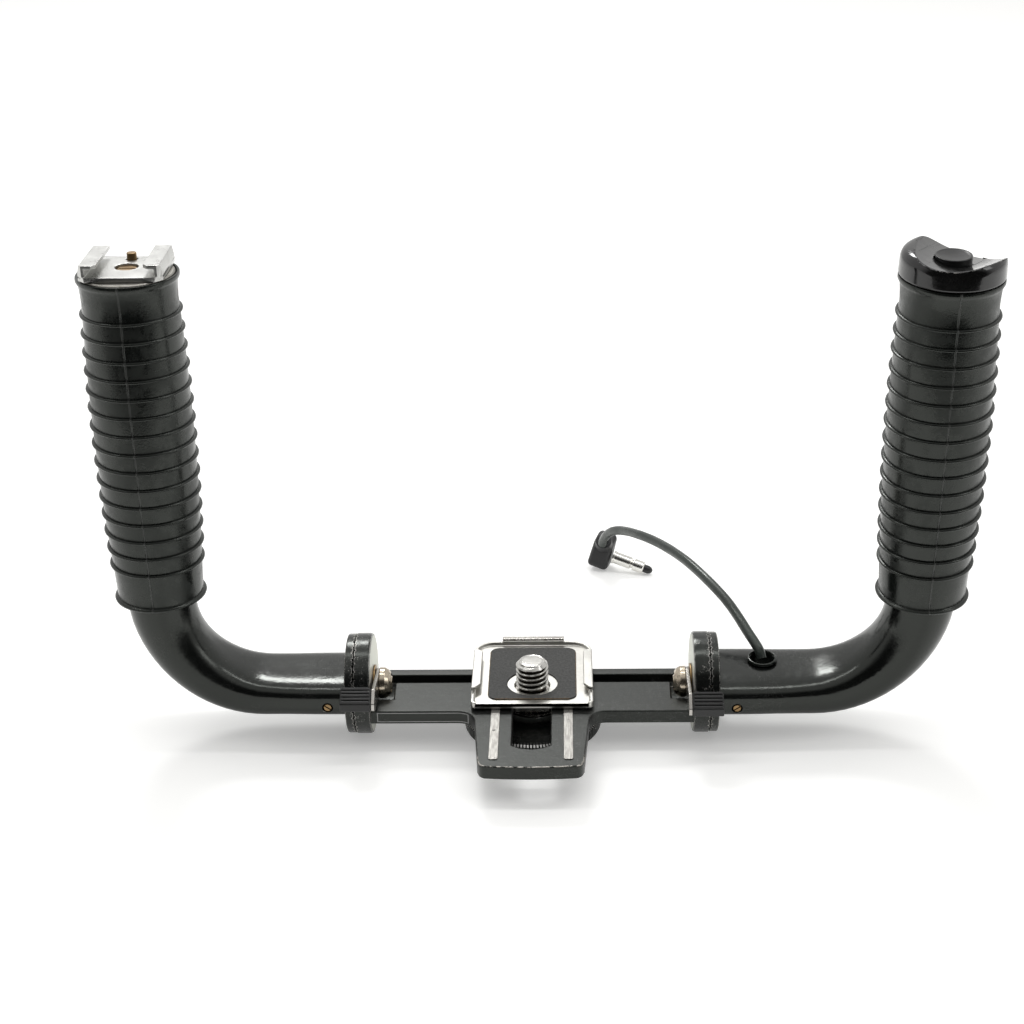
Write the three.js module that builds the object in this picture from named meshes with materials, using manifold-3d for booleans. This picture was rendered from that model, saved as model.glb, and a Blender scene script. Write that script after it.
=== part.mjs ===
import * as THREE from 'three';
import { mergeVertices } from 'three/addons/utils/BufferGeometryUtils.js';
import Module from 'manifold-3d';

// Twin-handle hand grip for a camera, in millimetres, +Z up.
// The origin is on the floor under the camera screw. The handles' pivots lie along X.

// Rosette joints between the bar and the handles
const AXIS_Z = 14.8;
const DISC_R = 14.8;
const SEAM_X = 51.6;
const SEAM_GAP = 0.3;
const BAR_DISC_THICK = 4.7;
const HUB_DISC_THICK = 2.4;
const HUB_DISC_R = 14.6;
const TOOTH_COUNT = 40;
const TOOTH_DEPTH = 0.85;
const TOOTH_HALF_WIDTH = 0.62;
const TOOTH_INNER_R = 10.5;
const DISC_CHAMFER = 0.8;
const STUD_R = 2.5;
const STUD_BORE_R = 2.8;

// Bar and tongue casting
const BAR_TOP = 12.3;
const BAR_BOTTOM = 8.1;
const BAR_HALF_DEPTH = 12.5;
const TONGUE_ROOT_HALF = 16.5;
const TONGUE_TIP_HALF = 14.9;
const TONGUE_CORNER_Y = -39.4;
const TONGUE_FRONT_Y = -42.6;
const TONGUE_CHAMFER = 2.4;
const TONGUE_FILLET = 5;
const SLOT_HALF = 5.5;
const SLOT_FRONT_Y = -33.2;
const SLOT_REAR_Y = 6;
const GROOVE_FRONT_Y = 4.4;
const GROOVE_REAR_Y = 8.9;
const GROOVE_DEPTH = 2.9;
const NUT_POCKET_R = 5.9;
const NUT_POCKET_LENGTH = 6;
const CAST_EDGE = 0.35;
const RAIL_X = 10.5;
const RAIL_WIDTH = 2.6;
const RAIL_HEIGHT = 0.35;
const RAIL_FRONT_Y = -38.8;
const RAIL_REAR_Y = 3.6;

// Camera plate, pad and screw
const PLATE_HALF = 17.8;
const PLATE_FRONT_Y = -12.2;
const PLATE_REAR_Y = 25.2;
const PLATE_BOTTOM = 12.85;
const SHEET = 1;
const LIP_TOP = 16.3;
const LIP_WIDTH = 2.7;
const LIP_FRONT_Y = -5.1;
const LIP_REAR_Y = 17.6;
const STOP_TAB_HALF = 9.4;
const STOP_TAB_TOP = 15.9;
const PAD_HALF = 13;
const PAD_FRONT_Y = -8.7;
const PAD_REAR_Y = 22;
const PAD_TOP = 14.25;
const PAD_HOLE_R = 7.4;
const PAD_HOLE_Y = 0.5;
const SCREW_R = 4.7625;
const SCREW_PITCH = 1.5875;
const SCREW_TOP = 22.1;
const SCREW_SHANK_R = 3.5;
const SCREW_BOTTOM = 3;
const BLOCK_HALF = 5.2;
const BLOCK_FRONT_Y = -7;
const BLOCK_REAR_Y = 5.3;
const BLOCK_BOTTOM = 8.7;

// Hand wheel under the bar; its hub is the third foot of the part
const WHEEL_R = 20.4;
const WHEEL_BOTTOM = 0.8;
const WHEEL_TOP = 6.7;
const WHEEL_EDGE = 0.9;
const WHEEL_TEETH = 66;
const WHEEL_TOOTH_DEPTH = 0.4;
const WHEEL_FOOT_R = 13;
const WHEEL_HUB_R = 8.5;
const WHEEL_HUB_TOP = 7.4;

// Locks
const WASHER_R = 5.4;
const LEVER_INNER_X = 45;
const LEVER_THICK = 1;
const LEVER_ROUND_R = 4.4;
const PAD_BLOCK_WIDTH = 8.9;
const PAD_CLEAR_R = 15.4;
const PAD_RIB_COUNT = 5;
const PAD_RIB_HEIGHT = 0.35;
const LEFT_LEVER_LIFT = 6;
const NUT_R = 4.6;
const NUT_LENGTH = 3.3;

// Handle tubes, in a frame whose origin is on the pivot axis
const TUBE_START_X = 54.4;
const TUBE_WALL = 1.5;
const TUBE_ROUND_R = 9.7;
const TUBE_TOP = 125;
const LEFT_HANDLE = { side: -1, reach: 107.1, bend: 29.5, tilt: 0 };
const RIGHT_HANDLE = { side: 1, reach: 111.6, bend: 30, tilt: 3.87 };
const HUB_SCREW_X = 59.2;
const HUB_SCREW_HEAD_R = 1.3;
const HUB_TONGUE_END = 62.6;

// Rubber grips, same frame as the tubes
const GRIP_BOTTOM = 30.2;
const GRIP_TOP = 126.8;
const GRIP_BORE_R = 10.1;
const RING_COUNT = 15;
const RING_PITCH = 5.33;
const RING_FIRST_Z = 116.3;
const RING_HEIGHT = 0.8;
const RING_HALF_WIDTH = 0.6;
const RING_MID_R = 14.6;
const GRIP_BARREL = 1.47;
const GRIP_LEAN = 0.32;
const RIM_R = 14;
const RIM_RECESS_R = 13.1;
const FOOT_RIM_R = 13.1;
const TOP_FLARE_R = 13.3;

// Accessory shoe on the left grip
const SHOE_BOTTOM = 127.2;
const SHOE_HALF_WIDTH = 11.2;
const SHOE_HALF_DEPTH = 9.5;
const SHOE_BASE = 1.3;
const SHOE_SLOT_HALF = 9.3;
const SHOE_GAP_HALF = 6.25;
const SHOE_SLOT_HEIGHT = 2.1;
const SHOE_LIP = 1.05;
const SHOE_HOLE_R = 3.2;
const SHOE_PIN_Y = 7.2;
const SHOE_PIN_R = 1.35;
const SHOE_PIN_TOP = 130.3;

// Release cap and button on the right grip
const CAP_BOTTOM = 127;
const CAP_R = 14;
const CAP_HEIGHT = 7.2;
const CAP_SLANT = 4.5;
const CAP_ROUND = 4.2;
const SCOOP_R = 20;
const SCOOP_FLOOR = 3.4;
const SCOOP_TURN = 30;
const SCOOP_FALL = 11;
const SCOOP_OFFSET = 2;
const BUTTON_R = 4.85;
const BUTTON_TOP = 132.4;
const BUTTON_SKIRT = 128.8;
const BUTTON_DISH = 0.5;
const BUTTON_WELL_R = 5.2;
const BUTTON_WELL_FLOOR = 124;
const STEM_R = 1.5;
const STEM_BOTTOM = 116.5;
const SPIGOT_R = 7.9;
const SPIGOT_BOTTOM = 121;
const SPRING_R = 3.5;
const SPRING_WIRE_R = 0.25;
const SPRING_BOTTOM = 124.3;
const SPRING_TOP = 128.5;
const SPRING_TURNS = 3.5;
const SWITCH_BASE_TOP = 113;
const SWITCH_BASE_BOTTOM = 110;

// Cord: where it leaves the tube, its size and its route to the plug
const GROMMET_X = 67.5;
const GROMMET_Y = 2.7;
const GROMMET_FACE = 5.65;
const CORD_R = 1.5;
const LEAD_R = 1.3;
const CORD_ROUTE = [
  [67.45, 2.3, 20.9],
  [66.5, 4.4, 23.3],
  [63.9, 9.9, 25.7],
  [61.0, 16.2, 28.4],
  [58.3, 22.0, 30.2],
  [55.2, 28.6, 31.3],
  [51.6, 36.3, 32.0],
  [47.6, 45.0, 32.2],
  [43.2, 54.4, 31.5],
  [38.8, 63.8, 30.0],
  [34.4, 73.3, 27.7],
  [30.4, 82.0, 25.0],
  [26.9, 89.6, 21.7],
  [24.5, 95.2, 17.9],
  [23.1, 98.9, 14.0],
  [22.7, 100.5, 11.6],
];
const PLUG_CENTRE = [22.6, 105.7, 5.75];
const PLUG_ALONG = [10, -3.4, -2.6];
const PLUG_HALF_WIDTH = 4.3;
const PLUG_HALF_DEPTH = 4.5;
const PLUG_BELOW = 4.75;
const PLUG_ABOVE = 7.3;
const BARREL_R = 2.1;

const wasm = await Module();
wasm.setup();

const degrees = THREE.MathUtils.degToRad;

const finish = (color, roughness, metalness) => () =>
  new THREE.MeshStandardMaterial({ color, roughness, metalness, flatShading: true });
const blackPaint = finish(0x16171a, 0.4, 0.2);
const blackRubber = finish(0x1b1d1e, 0.62, 0);
const blackPlastic = finish(0x121213, 0.35, 0);
const chrome = finish(0xd9dadb, 0.18, 1);
const aluminium = finish(0xc9cacb, 0.35, 1);
const steel = finish(0xa7a6a3, 0.35, 1);
const brass = finish(0xa9803f, 0.4, 1);
const padGrey = finish(0x3a3b3c, 0.85, 0);

// Signed volume of a closed indexed geometry
function signedVolume(geometry) {
  const position = geometry.attributes.position;
  const index = geometry.index.array;
  const a = new THREE.Vector3();
  const b = new THREE.Vector3();
  const c = new THREE.Vector3();
  let sum = 0;
  for (let i = 0; i < index.length; i += 3) {
    a.fromBufferAttribute(position, index[i]);
    b.fromBufferAttribute(position, index[i + 1]);
    c.fromBufferAttribute(position, index[i + 2]);
    sum += a.dot(b.cross(c));
  }
  return sum / 6;
}

// Merges shared vertices, drops slivers at the poles, and turns the faces outwards
function closed(geometry) {
  const bare = geometry.clone();
  bare.deleteAttribute('normal');
  bare.deleteAttribute('uv');
  const merged = mergeVertices(bare, 1e-4);
  const kept = [];
  const index = merged.index.array;
  for (let i = 0; i < index.length; i += 3) {
    const [a, b, c] = [index[i], index[i + 1], index[i + 2]];
    if (a !== b && b !== c && c !== a) kept.push(a, b, c);
  }
  merged.setIndex(kept);
  if (signedVolume(merged) < 0) {
    for (let i = 0; i < kept.length; i += 3) [kept[i + 1], kept[i + 2]] = [kept[i + 2], kept[i + 1]];
    merged.setIndex(kept);
  }
  return merged;
}

function solid(geometry) {
  const shell = closed(geometry);
  const mesh = new wasm.Mesh({
    numProp: 3,
    vertProperties: new Float32Array(shell.attributes.position.array),
    triVerts: new Uint32Array(shell.index.array),
  });
  return new wasm.Manifold(mesh);
}

function geometryOf(manifold) {
  const mesh = manifold.getMesh();
  const geometry = new THREE.BufferGeometry();
  geometry.setAttribute('position', new THREE.BufferAttribute(new Float32Array(mesh.vertProperties), 3));
  geometry.setIndex(Array.from(mesh.triVerts));
  return geometry;
}

function joined(first, ...rest) {
  return geometryOf(rest.reduce((sum, piece) => sum.add(solid(piece)), solid(first)));
}

function cut(body, ...tools) {
  return geometryOf(tools.reduce((left, tool) => left.subtract(solid(tool)), solid(body)));
}

function common(first, second) {
  return geometryOf(solid(first).intersect(solid(second)));
}

function block(x0, x1, y0, y1, z0, z1) {
  const geometry = new THREE.BoxGeometry(x1 - x0, y1 - y0, z1 - z0);
  return geometry.translate((x0 + x1) / 2, (y0 + y1) / 2, (z0 + z1) / 2);
}

// A turned solid about Z from [radius, height] pairs
function turned(profile, segments = 40) {
  const points = profile.map(([r, h]) => new THREE.Vector2(r, h));
  return new THREE.LatheGeometry(points, segments).rotateX(Math.PI / 2);
}

// A turned solid about X from [radius, x] pairs
function turnedAlongX(profile, segments = 40) {
  const points = profile.map(([r, x]) => new THREE.Vector2(r, x));
  return new THREE.LatheGeometry(points, segments).rotateZ(-Math.PI / 2);
}

function rod(r, z0, z1, segments = 32) {
  return turned([[0, z0], [r, z0], [r, z1], [0, z1]], segments);
}

function rodAlongX(r, x0, x1, segments = 32) {
  return turnedAlongX([[0, x0], [r, x0], [r, x1], [0, x1]], segments);
}

function ring(inner, outer, z0, z1, segments = 32) {
  return turned([[inner, z0], [outer, z0], [outer, z1], [inner, z1], [inner, z0]], segments);
}

// A flat outline raised from z0 to z1, with its edges broken by a small bevel
function raised(shape, z0, z1, edge = 0, curveSegments = 6) {
  const geometry = new THREE.ExtrudeGeometry(shape, {
    depth: z1 - z0 - 2 * edge,
    bevelEnabled: edge > 0,
    bevelThickness: edge,
    bevelSize: edge,
    bevelOffset: -edge,
    bevelSegments: 1,
    curveSegments,
  });
  return geometry.translate(0, 0, z0 + edge);
}

function outline(points) {
  return new THREE.Shape(points.map(([x, y]) => new THREE.Vector2(x, y)));
}

function roundedRectangle(x0, x1, y0, y1, r) {
  const shape = new THREE.Shape();
  shape.moveTo(x0 + r, y0);
  shape.lineTo(x1 - r, y0);
  shape.absarc(x1 - r, y0 + r, r, -Math.PI / 2, 0);
  shape.lineTo(x1, y1 - r);
  shape.absarc(x1 - r, y1 - r, r, 0, Math.PI / 2);
  shape.lineTo(x0 + r, y1);
  shape.absarc(x0 + r, y1 - r, r, Math.PI / 2, Math.PI);
  shape.lineTo(x0, y0 + r);
  shape.absarc(x0 + r, y0 + r, r, Math.PI, Math.PI * 1.5);
  return shape;
}

// Puts a piece that was modelled for the right side on its own side
function onSide(geometry, side) {
  return side > 0 ? geometry : closed(geometry.clone().applyMatrix4(new THREE.Matrix4().makeScale(-1, 1, 1)));
}

function mesh(name, geometry, material) {
  const piece = new THREE.Mesh(closed(geometry), material());
  piece.name = name;
  return piece;
}

function barOutline() {
  const shape = new THREE.Shape();
  const end = SEAM_X - SEAM_GAP / 2 - BAR_DISC_THICK + 1;
  shape.moveTo(end, BAR_HALF_DEPTH);
  shape.lineTo(-end, BAR_HALF_DEPTH);
  shape.lineTo(-end, -BAR_HALF_DEPTH);
  shape.lineTo(-TONGUE_ROOT_HALF - TONGUE_FILLET, -BAR_HALF_DEPTH);
  shape.quadraticCurveTo(-TONGUE_ROOT_HALF, -BAR_HALF_DEPTH, -TONGUE_ROOT_HALF, -BAR_HALF_DEPTH - TONGUE_FILLET);
  shape.lineTo(-TONGUE_TIP_HALF, TONGUE_CORNER_Y);
  shape.lineTo(-TONGUE_TIP_HALF + TONGUE_CHAMFER, TONGUE_CORNER_Y - TONGUE_CHAMFER);
  shape.quadraticCurveTo(0, 2 * TONGUE_FRONT_Y - TONGUE_CORNER_Y + TONGUE_CHAMFER,
    TONGUE_TIP_HALF - TONGUE_CHAMFER, TONGUE_CORNER_Y - TONGUE_CHAMFER);
  shape.lineTo(TONGUE_TIP_HALF, TONGUE_CORNER_Y);
  shape.lineTo(TONGUE_ROOT_HALF, -BAR_HALF_DEPTH - TONGUE_FILLET);
  shape.quadraticCurveTo(TONGUE_ROOT_HALF, -BAR_HALF_DEPTH, TONGUE_ROOT_HALF + TONGUE_FILLET, -BAR_HALF_DEPTH);
  shape.lineTo(end, -BAR_HALF_DEPTH);
  const slot = new THREE.Path();
  slot.moveTo(SLOT_HALF, SLOT_REAR_Y);
  slot.lineTo(SLOT_HALF, SLOT_FRONT_Y + 2);
  slot.quadraticCurveTo(0, SLOT_FRONT_Y - 2, -SLOT_HALF, SLOT_FRONT_Y + 2);
  slot.lineTo(-SLOT_HALF, SLOT_REAR_Y);
  shape.holes.push(slot);
  return shape;
}

// A disc whose face is ringed with radial V teeth; x runs from its plain back to its toothed face
function toothedDisc(back, face, outerR, chamfer) {
  const outwards = Math.sign(face - back);
  const pitch = 2 * Math.PI / TOOTH_COUNT;
  const half = TOOTH_HALF_WIDTH / outerR;
  const at = (x, r, angle) => new THREE.Vector3(x, r * Math.cos(angle), r * Math.sin(angle));
  const ringOf = (r, x, grooved = false) => {
    const points = [];
    for (let i = 0; i < TOOTH_COUNT; i++) {
      const angle = (i + 0.5) * pitch;
      points.push(at(x, r, grooved ? angle - half : angle));
      points.push(at(grooved ? x - outwards * TOOTH_DEPTH : x, r, angle));
      points.push(at(x, r, grooved ? angle + half : angle));
    }
    return points;
  };
  const outer = [ringOf(outerR - chamfer, back), ringOf(outerR, back + outwards * chamfer), ringOf(outerR, face, true)];
  const inner = [ringOf(STUD_BORE_R, back), ringOf(STUD_BORE_R, face), ringOf(TOOTH_INNER_R, face)];
  return closedWall(outer, inner);
}

function barDisc(side) {
  const face = SEAM_X - SEAM_GAP / 2;
  const disc = toothedDisc(face - BAR_DISC_THICK, face, DISC_R, DISC_CHAMFER);
  return onSide(disc, side).translate(0, 0, AXIS_Z);
}

function nutPocket(side) {
  const face = SEAM_X - SEAM_GAP / 2 - BAR_DISC_THICK;
  return onSide(rodAlongX(NUT_POCKET_R, face - NUT_POCKET_LENGTH, face, 32), side).translate(0, 0, AXIS_Z);
}

function barCasting() {
  const end = SEAM_X - SEAM_GAP / 2 - BAR_DISC_THICK;
  const plate = raised(barOutline(), BAR_BOTTOM, BAR_TOP, CAST_EDGE, 4);
  const groove = block(-end, end, GROOVE_FRONT_Y, GROOVE_REAR_Y, BAR_TOP - GROOVE_DEPTH, BAR_TOP + 1);
  const relieved = cut(plate, groove, nutPocket(-1), nutPocket(1));
  return joined(relieved, barDisc(-1), barDisc(1));
}

function tongueRail(side) {
  const x = side * RAIL_X;
  const strip = roundedRectangle(x - RAIL_WIDTH / 2, x + RAIL_WIDTH / 2, RAIL_FRONT_Y, RAIL_REAR_Y, 0.5);
  return raised(strip, BAR_TOP, BAR_TOP + RAIL_HEIGHT, 0, 3);
}

function platePlan(inset) {
  const x = PLATE_HALF - inset;
  const front = PLATE_FRONT_Y + inset;
  const rear = PLATE_REAR_Y - inset;
  const corner = 6 - inset;
  const shape = new THREE.Shape();
  shape.moveTo(-x + 1.2, front);
  shape.lineTo(x - 1.2, front);
  shape.quadraticCurveTo(x, front, x, front + 1.2);
  shape.lineTo(x, rear - corner);
  shape.absarc(x - corner, rear - corner, corner, 0, Math.PI / 2);
  shape.lineTo(-x + corner, rear);
  shape.absarc(-x + corner, rear - corner, corner, Math.PI / 2, Math.PI);
  shape.lineTo(-x, front + 1.2);
  shape.quadraticCurveTo(-x, front, -x + 1.2, front);
  return shape;
}

function plateLip(side) {
  const inner = PLATE_HALF - LIP_WIDTH;
  const lip = outline([
    [PLATE_HALF, LIP_FRONT_Y - 0.6], [PLATE_HALF, LIP_REAR_Y], [inner + 1.2, LIP_REAR_Y],
    [inner, LIP_REAR_Y - 1.2], [inner, LIP_FRONT_Y + 1.8], [inner + 1.5, LIP_FRONT_Y],
  ]);
  const wall = block(PLATE_HALF - SHEET, PLATE_HALF, LIP_FRONT_Y, LIP_REAR_Y, PLATE_BOTTOM + 0.5, LIP_TOP - 0.3);
  return [raised(lip, LIP_TOP - 0.8, LIP_TOP), wall].map((piece) => onSide(piece, side));
}

function cameraPlate() {
  const floor = raised(platePlan(0), PLATE_BOTTOM, PLATE_BOTTOM + SHEET, 0, 4);
  const rimTop = PLATE_BOTTOM + SHEET + 0.75;
  const rim = cut(
    raised(platePlan(0), PLATE_BOTTOM + SHEET / 2, rimTop, 0, 4),
    raised(platePlan(SHEET), PLATE_BOTTOM, rimTop + 1, 0, 4),
    block(-PLATE_HALF + SHEET, PLATE_HALF - SHEET, PLATE_FRONT_Y - 1, PLATE_FRONT_Y + 4, PLATE_BOTTOM, rimTop + 1),
  );
  const tab = block(-STOP_TAB_HALF, STOP_TAB_HALF, PLATE_REAR_Y - SHEET, PLATE_REAR_Y,
    PLATE_BOTTOM + 0.5, STOP_TAB_TOP);
  const flange = block(-STOP_TAB_HALF, STOP_TAB_HALF, PLATE_REAR_Y - 0.5, PLATE_REAR_Y + 1,
    STOP_TAB_TOP - 0.8, STOP_TAB_TOP);
  const tray = joined(floor, rim, tab, flange, ...plateLip(-1), ...plateLip(1));
  return cut(tray, rod(SCREW_R + 0.4, PLATE_BOTTOM - 1, PLATE_BOTTOM + SHEET + 1));
}

function platePad() {
  const sheet = roundedRectangle(-PAD_HALF, PAD_HALF, PAD_FRONT_Y, PAD_REAR_Y, 3);
  const hole = new THREE.Path();
  hole.absarc(0, PAD_HOLE_Y, PAD_HOLE_R, 0, Math.PI * 2, true);
  sheet.holes.push(hole);
  return raised(sheet, PLATE_BOTTOM + SHEET, PAD_TOP, 0, 6);
}

function slideBlock() {
  const body = block(-BLOCK_HALF, BLOCK_HALF, BLOCK_FRONT_Y, BLOCK_REAR_Y, BLOCK_BOTTOM, PLATE_BOTTOM);
  return cut(body, rod(SCREW_SHANK_R + 0.3, BLOCK_BOTTOM - 1, PLATE_BOTTOM + 1));
}

// A closed tube wall or rod from rings of points: every ring has the same number of points
function skinned(rings) {
  const count = rings[0].length;
  const positions = rings.flat().flatMap((point) => [point.x, point.y, point.z]);
  const index = [];
  for (let r = 0; r < rings.length - 1; r++) {
    for (let i = 0; i < count; i++) {
      const a = r * count + i;
      const b = r * count + (i + 1) % count;
      index.push(a, b, b + count, a, b + count, a + count);
    }
  }
  const geometry = new THREE.BufferGeometry();
  return { geometry, positions, index, count };
}

function cappedRod(rings) {
  const { geometry, positions, index, count } = skinned(rings);
  for (const [ringAt, turn] of [[0, false], [rings.length - 1, true]]) {
    const centre = rings[ringAt].reduce((sum, p) => sum.add(p), new THREE.Vector3()).divideScalar(count);
    const middle = positions.length / 3;
    positions.push(centre.x, centre.y, centre.z);
    for (let i = 0; i < count; i++) {
      const a = ringAt * count + i;
      const b = ringAt * count + (i + 1) % count;
      index.push(...(turn ? [a, b, middle] : [b, a, middle]));
    }
  }
  geometry.setAttribute('position', new THREE.Float32BufferAttribute(positions, 3));
  geometry.setIndex(index);
  return geometry;
}

// The wall runs out along the outer rings and back along the inner ones
function closedWall(outer, inner) {
  const loop = [...outer, ...inner.reverse(), outer[0]];
  const { geometry, positions, index } = skinned(loop);
  geometry.setAttribute('position', new THREE.Float32BufferAttribute(positions, 3));
  geometry.setIndex(index);
  return geometry;
}

// The thread is a ridge that climbs one pitch in a turn
function threadRadius(angle, z) {
  const phase = ((z / SCREW_PITCH - angle / (2 * Math.PI)) % 1 + 1) % 1;
  const height = 1 - Math.abs(2 * phase - 1);
  return SCREW_R - 0.85 + 0.85 * height;
}

function cameraScrew() {
  const around = 14;
  const steps = 18;
  const threadStart = PLATE_BOTTOM + 0.4;
  const chamfer = 1.1;
  const rings = [[SCREW_SHANK_R, SCREW_BOTTOM], [SCREW_SHANK_R, threadStart]].map(([r, z]) => circle(r, z, around));
  for (let i = 0; i <= steps; i++) {
    const z = threadStart + 0.3 + (SCREW_TOP - 0.2 - threadStart - 0.3) * i / steps;
    const limit = Math.min(SCREW_R, SCREW_R - (z - (SCREW_TOP - chamfer)));
    rings.push(circle((angle) => Math.min(threadRadius(angle, z), limit), z, around));
  }
  rings.push(circle(SCREW_R - chamfer - 0.25, SCREW_TOP, around));
  return cappedRod(rings);
}

function circle(radius, z, around) {
  const points = [];
  for (let i = 0; i < around; i++) {
    const angle = 2 * Math.PI * i / around;
    const r = typeof radius === 'number' ? radius : radius(angle);
    points.push(new THREE.Vector3(r * Math.cos(angle), r * Math.sin(angle), z));
  }
  return points;
}

function handWheel() {
  const points = [];
  for (let i = 0; i < 2 * WHEEL_TEETH; i++) {
    const r = WHEEL_R - (i % 2) * WHEEL_TOOTH_DEPTH;
    const angle = Math.PI * i / WHEEL_TEETH;
    points.push([r * Math.cos(angle), r * Math.sin(angle)]);
  }
  const knurled = raised(outline(points), WHEEL_BOTTOM - 1, WHEEL_TOP + 1);
  const rim = common(knurled, turned([
    [0, WHEEL_BOTTOM], [WHEEL_R - WHEEL_EDGE, WHEEL_BOTTOM], [WHEEL_R + 0.1, WHEEL_BOTTOM + WHEEL_EDGE + 0.1],
    [WHEEL_R + 0.1, WHEEL_TOP - WHEEL_EDGE - 0.1], [WHEEL_R - WHEEL_EDGE, WHEEL_TOP], [0, WHEEL_TOP],
  ]));
  const foot = turned([[0, 0], [WHEEL_FOOT_R - 1, 0], [WHEEL_FOOT_R, 1], [WHEEL_FOOT_R, 3], [0, 3]]);
  const hub = rod(WHEEL_HUB_R, WHEEL_TOP - 1, WHEEL_HUB_TOP);
  const bore = rod(SCREW_SHANK_R + 0.3, SCREW_BOTTOM - 0.3, WHEEL_HUB_TOP + 1);
  return cut(joined(rim, foot, hub), bore);
}

function thrustWasher(side) {
  const face = SEAM_X - SEAM_GAP / 2 - BAR_DISC_THICK;
  const washer = turnedAlongX([
    [STUD_BORE_R, face - 0.6], [WASHER_R, face - 0.6], [WASHER_R, face - 0.1], [STUD_BORE_R, face - 0.1],
    [STUD_BORE_R, face - 0.6],
  ], 20);
  return onSide(washer, side).translate(0, 0, AXIS_Z);
}

// Section of the finger pad in Y and Z about the pivot: a slope for the finger over a square front
const PAD_TOP_REAR = [-15, 5.1];
const PAD_TOP_FRONT = [-19, 1.6];
const PAD_FRONT_FOOT = [-19, -0.8];

function lockPad(side) {
  const inner = [0.3, 2.6].map((z) => [-Math.sqrt(PAD_CLEAR_R ** 2 - z ** 2), z]);
  const section = outline([PAD_TOP_REAR, ...inner.reverse(), [-PAD_CLEAR_R - 0.1, -0.8], PAD_FRONT_FOOT, PAD_TOP_FRONT]);
  const depth = PAD_BLOCK_WIDTH;
  const slab = standing(section, LEVER_INNER_X + LEVER_THICK + 0.1, depth);
  const slope = new THREE.Vector2(PAD_TOP_FRONT[0] - PAD_TOP_REAR[0], PAD_TOP_FRONT[1] - PAD_TOP_REAR[1]);
  const run = slope.length();
  slope.normalize();
  const outward = new THREE.Vector2(slope.y, -slope.x);
  const ribs = [];
  for (let i = 0; i < PAD_RIB_COUNT; i++) {
    const at = (i + 0.5) * run / PAD_RIB_COUNT;
    const corners = [[-0.38, -0.3], [0.38, -0.3], [0.2, PAD_RIB_HEIGHT], [-0.2, PAD_RIB_HEIGHT]].map(([u, v]) => [
      PAD_TOP_REAR[0] + slope.x * (at + u) + outward.x * v,
      PAD_TOP_REAR[1] + slope.y * (at + u) + outward.y * v,
    ]);
    ribs.push(standing(outline(corners), LEVER_INNER_X + LEVER_THICK + 0.5, depth - 0.8));
  }
  return onSide(joined(slab, ...ribs), side);
}

// Raises a Y-Z outline along X
function standing(shape, x, depth, curveSegments = 6) {
  const geometry = new THREE.ExtrudeGeometry(shape, { depth, bevelEnabled: false, curveSegments });
  const turn = new THREE.Matrix4().makeBasis(
    new THREE.Vector3(0, 1, 0), new THREE.Vector3(0, 0, 1), new THREE.Vector3(1, 0, 0));
  return geometry.applyMatrix4(turn).translate(x, 0, 0);
}

function lockLever(side) {
  const shape = new THREE.Shape();
  shape.absarc(0, 0, LEVER_ROUND_R, degrees(-153), degrees(105), false);
  shape.lineTo(-6, 4.2);
  shape.lineTo(-15.1, 4.6);
  shape.lineTo(-18.6, 1.4);
  shape.lineTo(-18.6, -0.6);
  shape.lineTo(-16, -2);
  shape.lineTo(-5.2, -2);
  const arm = standing(shape, LEVER_INNER_X, LEVER_THICK);
  return onSide(cut(arm, rodAlongX(STUD_BORE_R, LEVER_INNER_X - 1, LEVER_INNER_X + 2, 16)), side);
}

function domeNut(side) {
  const base = LEVER_INNER_X - 0.1;
  const profile = [[STUD_BORE_R, base]];
  profile.push([NUT_R, base], [NUT_R, base - 0.9]);
  for (const step of [25, 50, 70]) {
    const angle = degrees(step);
    profile.push([NUT_R * Math.cos(angle) + 0.3, base - 0.9 - (NUT_LENGTH - 0.9) * Math.sin(angle)]);
  }
  profile.push([STUD_BORE_R, base - NUT_LENGTH], [STUD_BORE_R, base]);
  profile[profile.length - 3][0] = Math.max(profile[profile.length - 3][0], STUD_BORE_R + 0.3);
  return onSide(turnedAlongX(profile, 16), side);
}

function pivotStud(side) {
  const tip = LEVER_INNER_X - NUT_LENGTH - 0.4;
  const stud = turnedAlongX([
    [0, tip], [1.7, tip + 0.1], [STUD_R, tip + 0.9], [STUD_R, HUB_TONGUE_END - 1], [0, HUB_TONGUE_END - 1],
  ], 16);
  return onSide(stud, side);
}

// Section of the handle tube across its run: half depth in Y, half height, and how square it is
function tubeSection(progress) {
  const depth = THREE.MathUtils.lerp(13, TUBE_ROUND_R, THREE.MathUtils.smoothstep(progress, 0.05, 0.95));
  const height = THREE.MathUtils.lerp(5.4, TUBE_ROUND_R, THREE.MathUtils.smoothstep(progress, 0.2, 1));
  const power = THREE.MathUtils.lerp(3.4, 2, THREE.MathUtils.smoothstep(progress, 0.3, 0.9));
  return { depth, height, power };
}

// Stations along the tube: out from the hub, round the bend and up into the grip
function tubeStations({ reach, bend }) {
  const stations = [];
  const bendStart = reach - bend;
  const straight = bendStart - TUBE_START_X;
  const total = straight + bend * Math.PI / 2;
  for (const x of [0, 0.35, 0.7]) {
    stations.push({ x: TUBE_START_X + straight * x, z: 0, angle: 0, progress: straight * x / total });
  }
  for (let i = 0; i <= 7; i++) {
    const angle = i * Math.PI / 14;
    stations.push({
      x: bendStart + bend * Math.sin(angle),
      z: bend * (1 - Math.cos(angle)),
      angle,
      progress: (straight + bend * angle) / total,
    });
  }
  stations.push({ x: reach, z: TUBE_TOP, angle: Math.PI / 2, progress: 1 });
  return stations;
}

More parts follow.
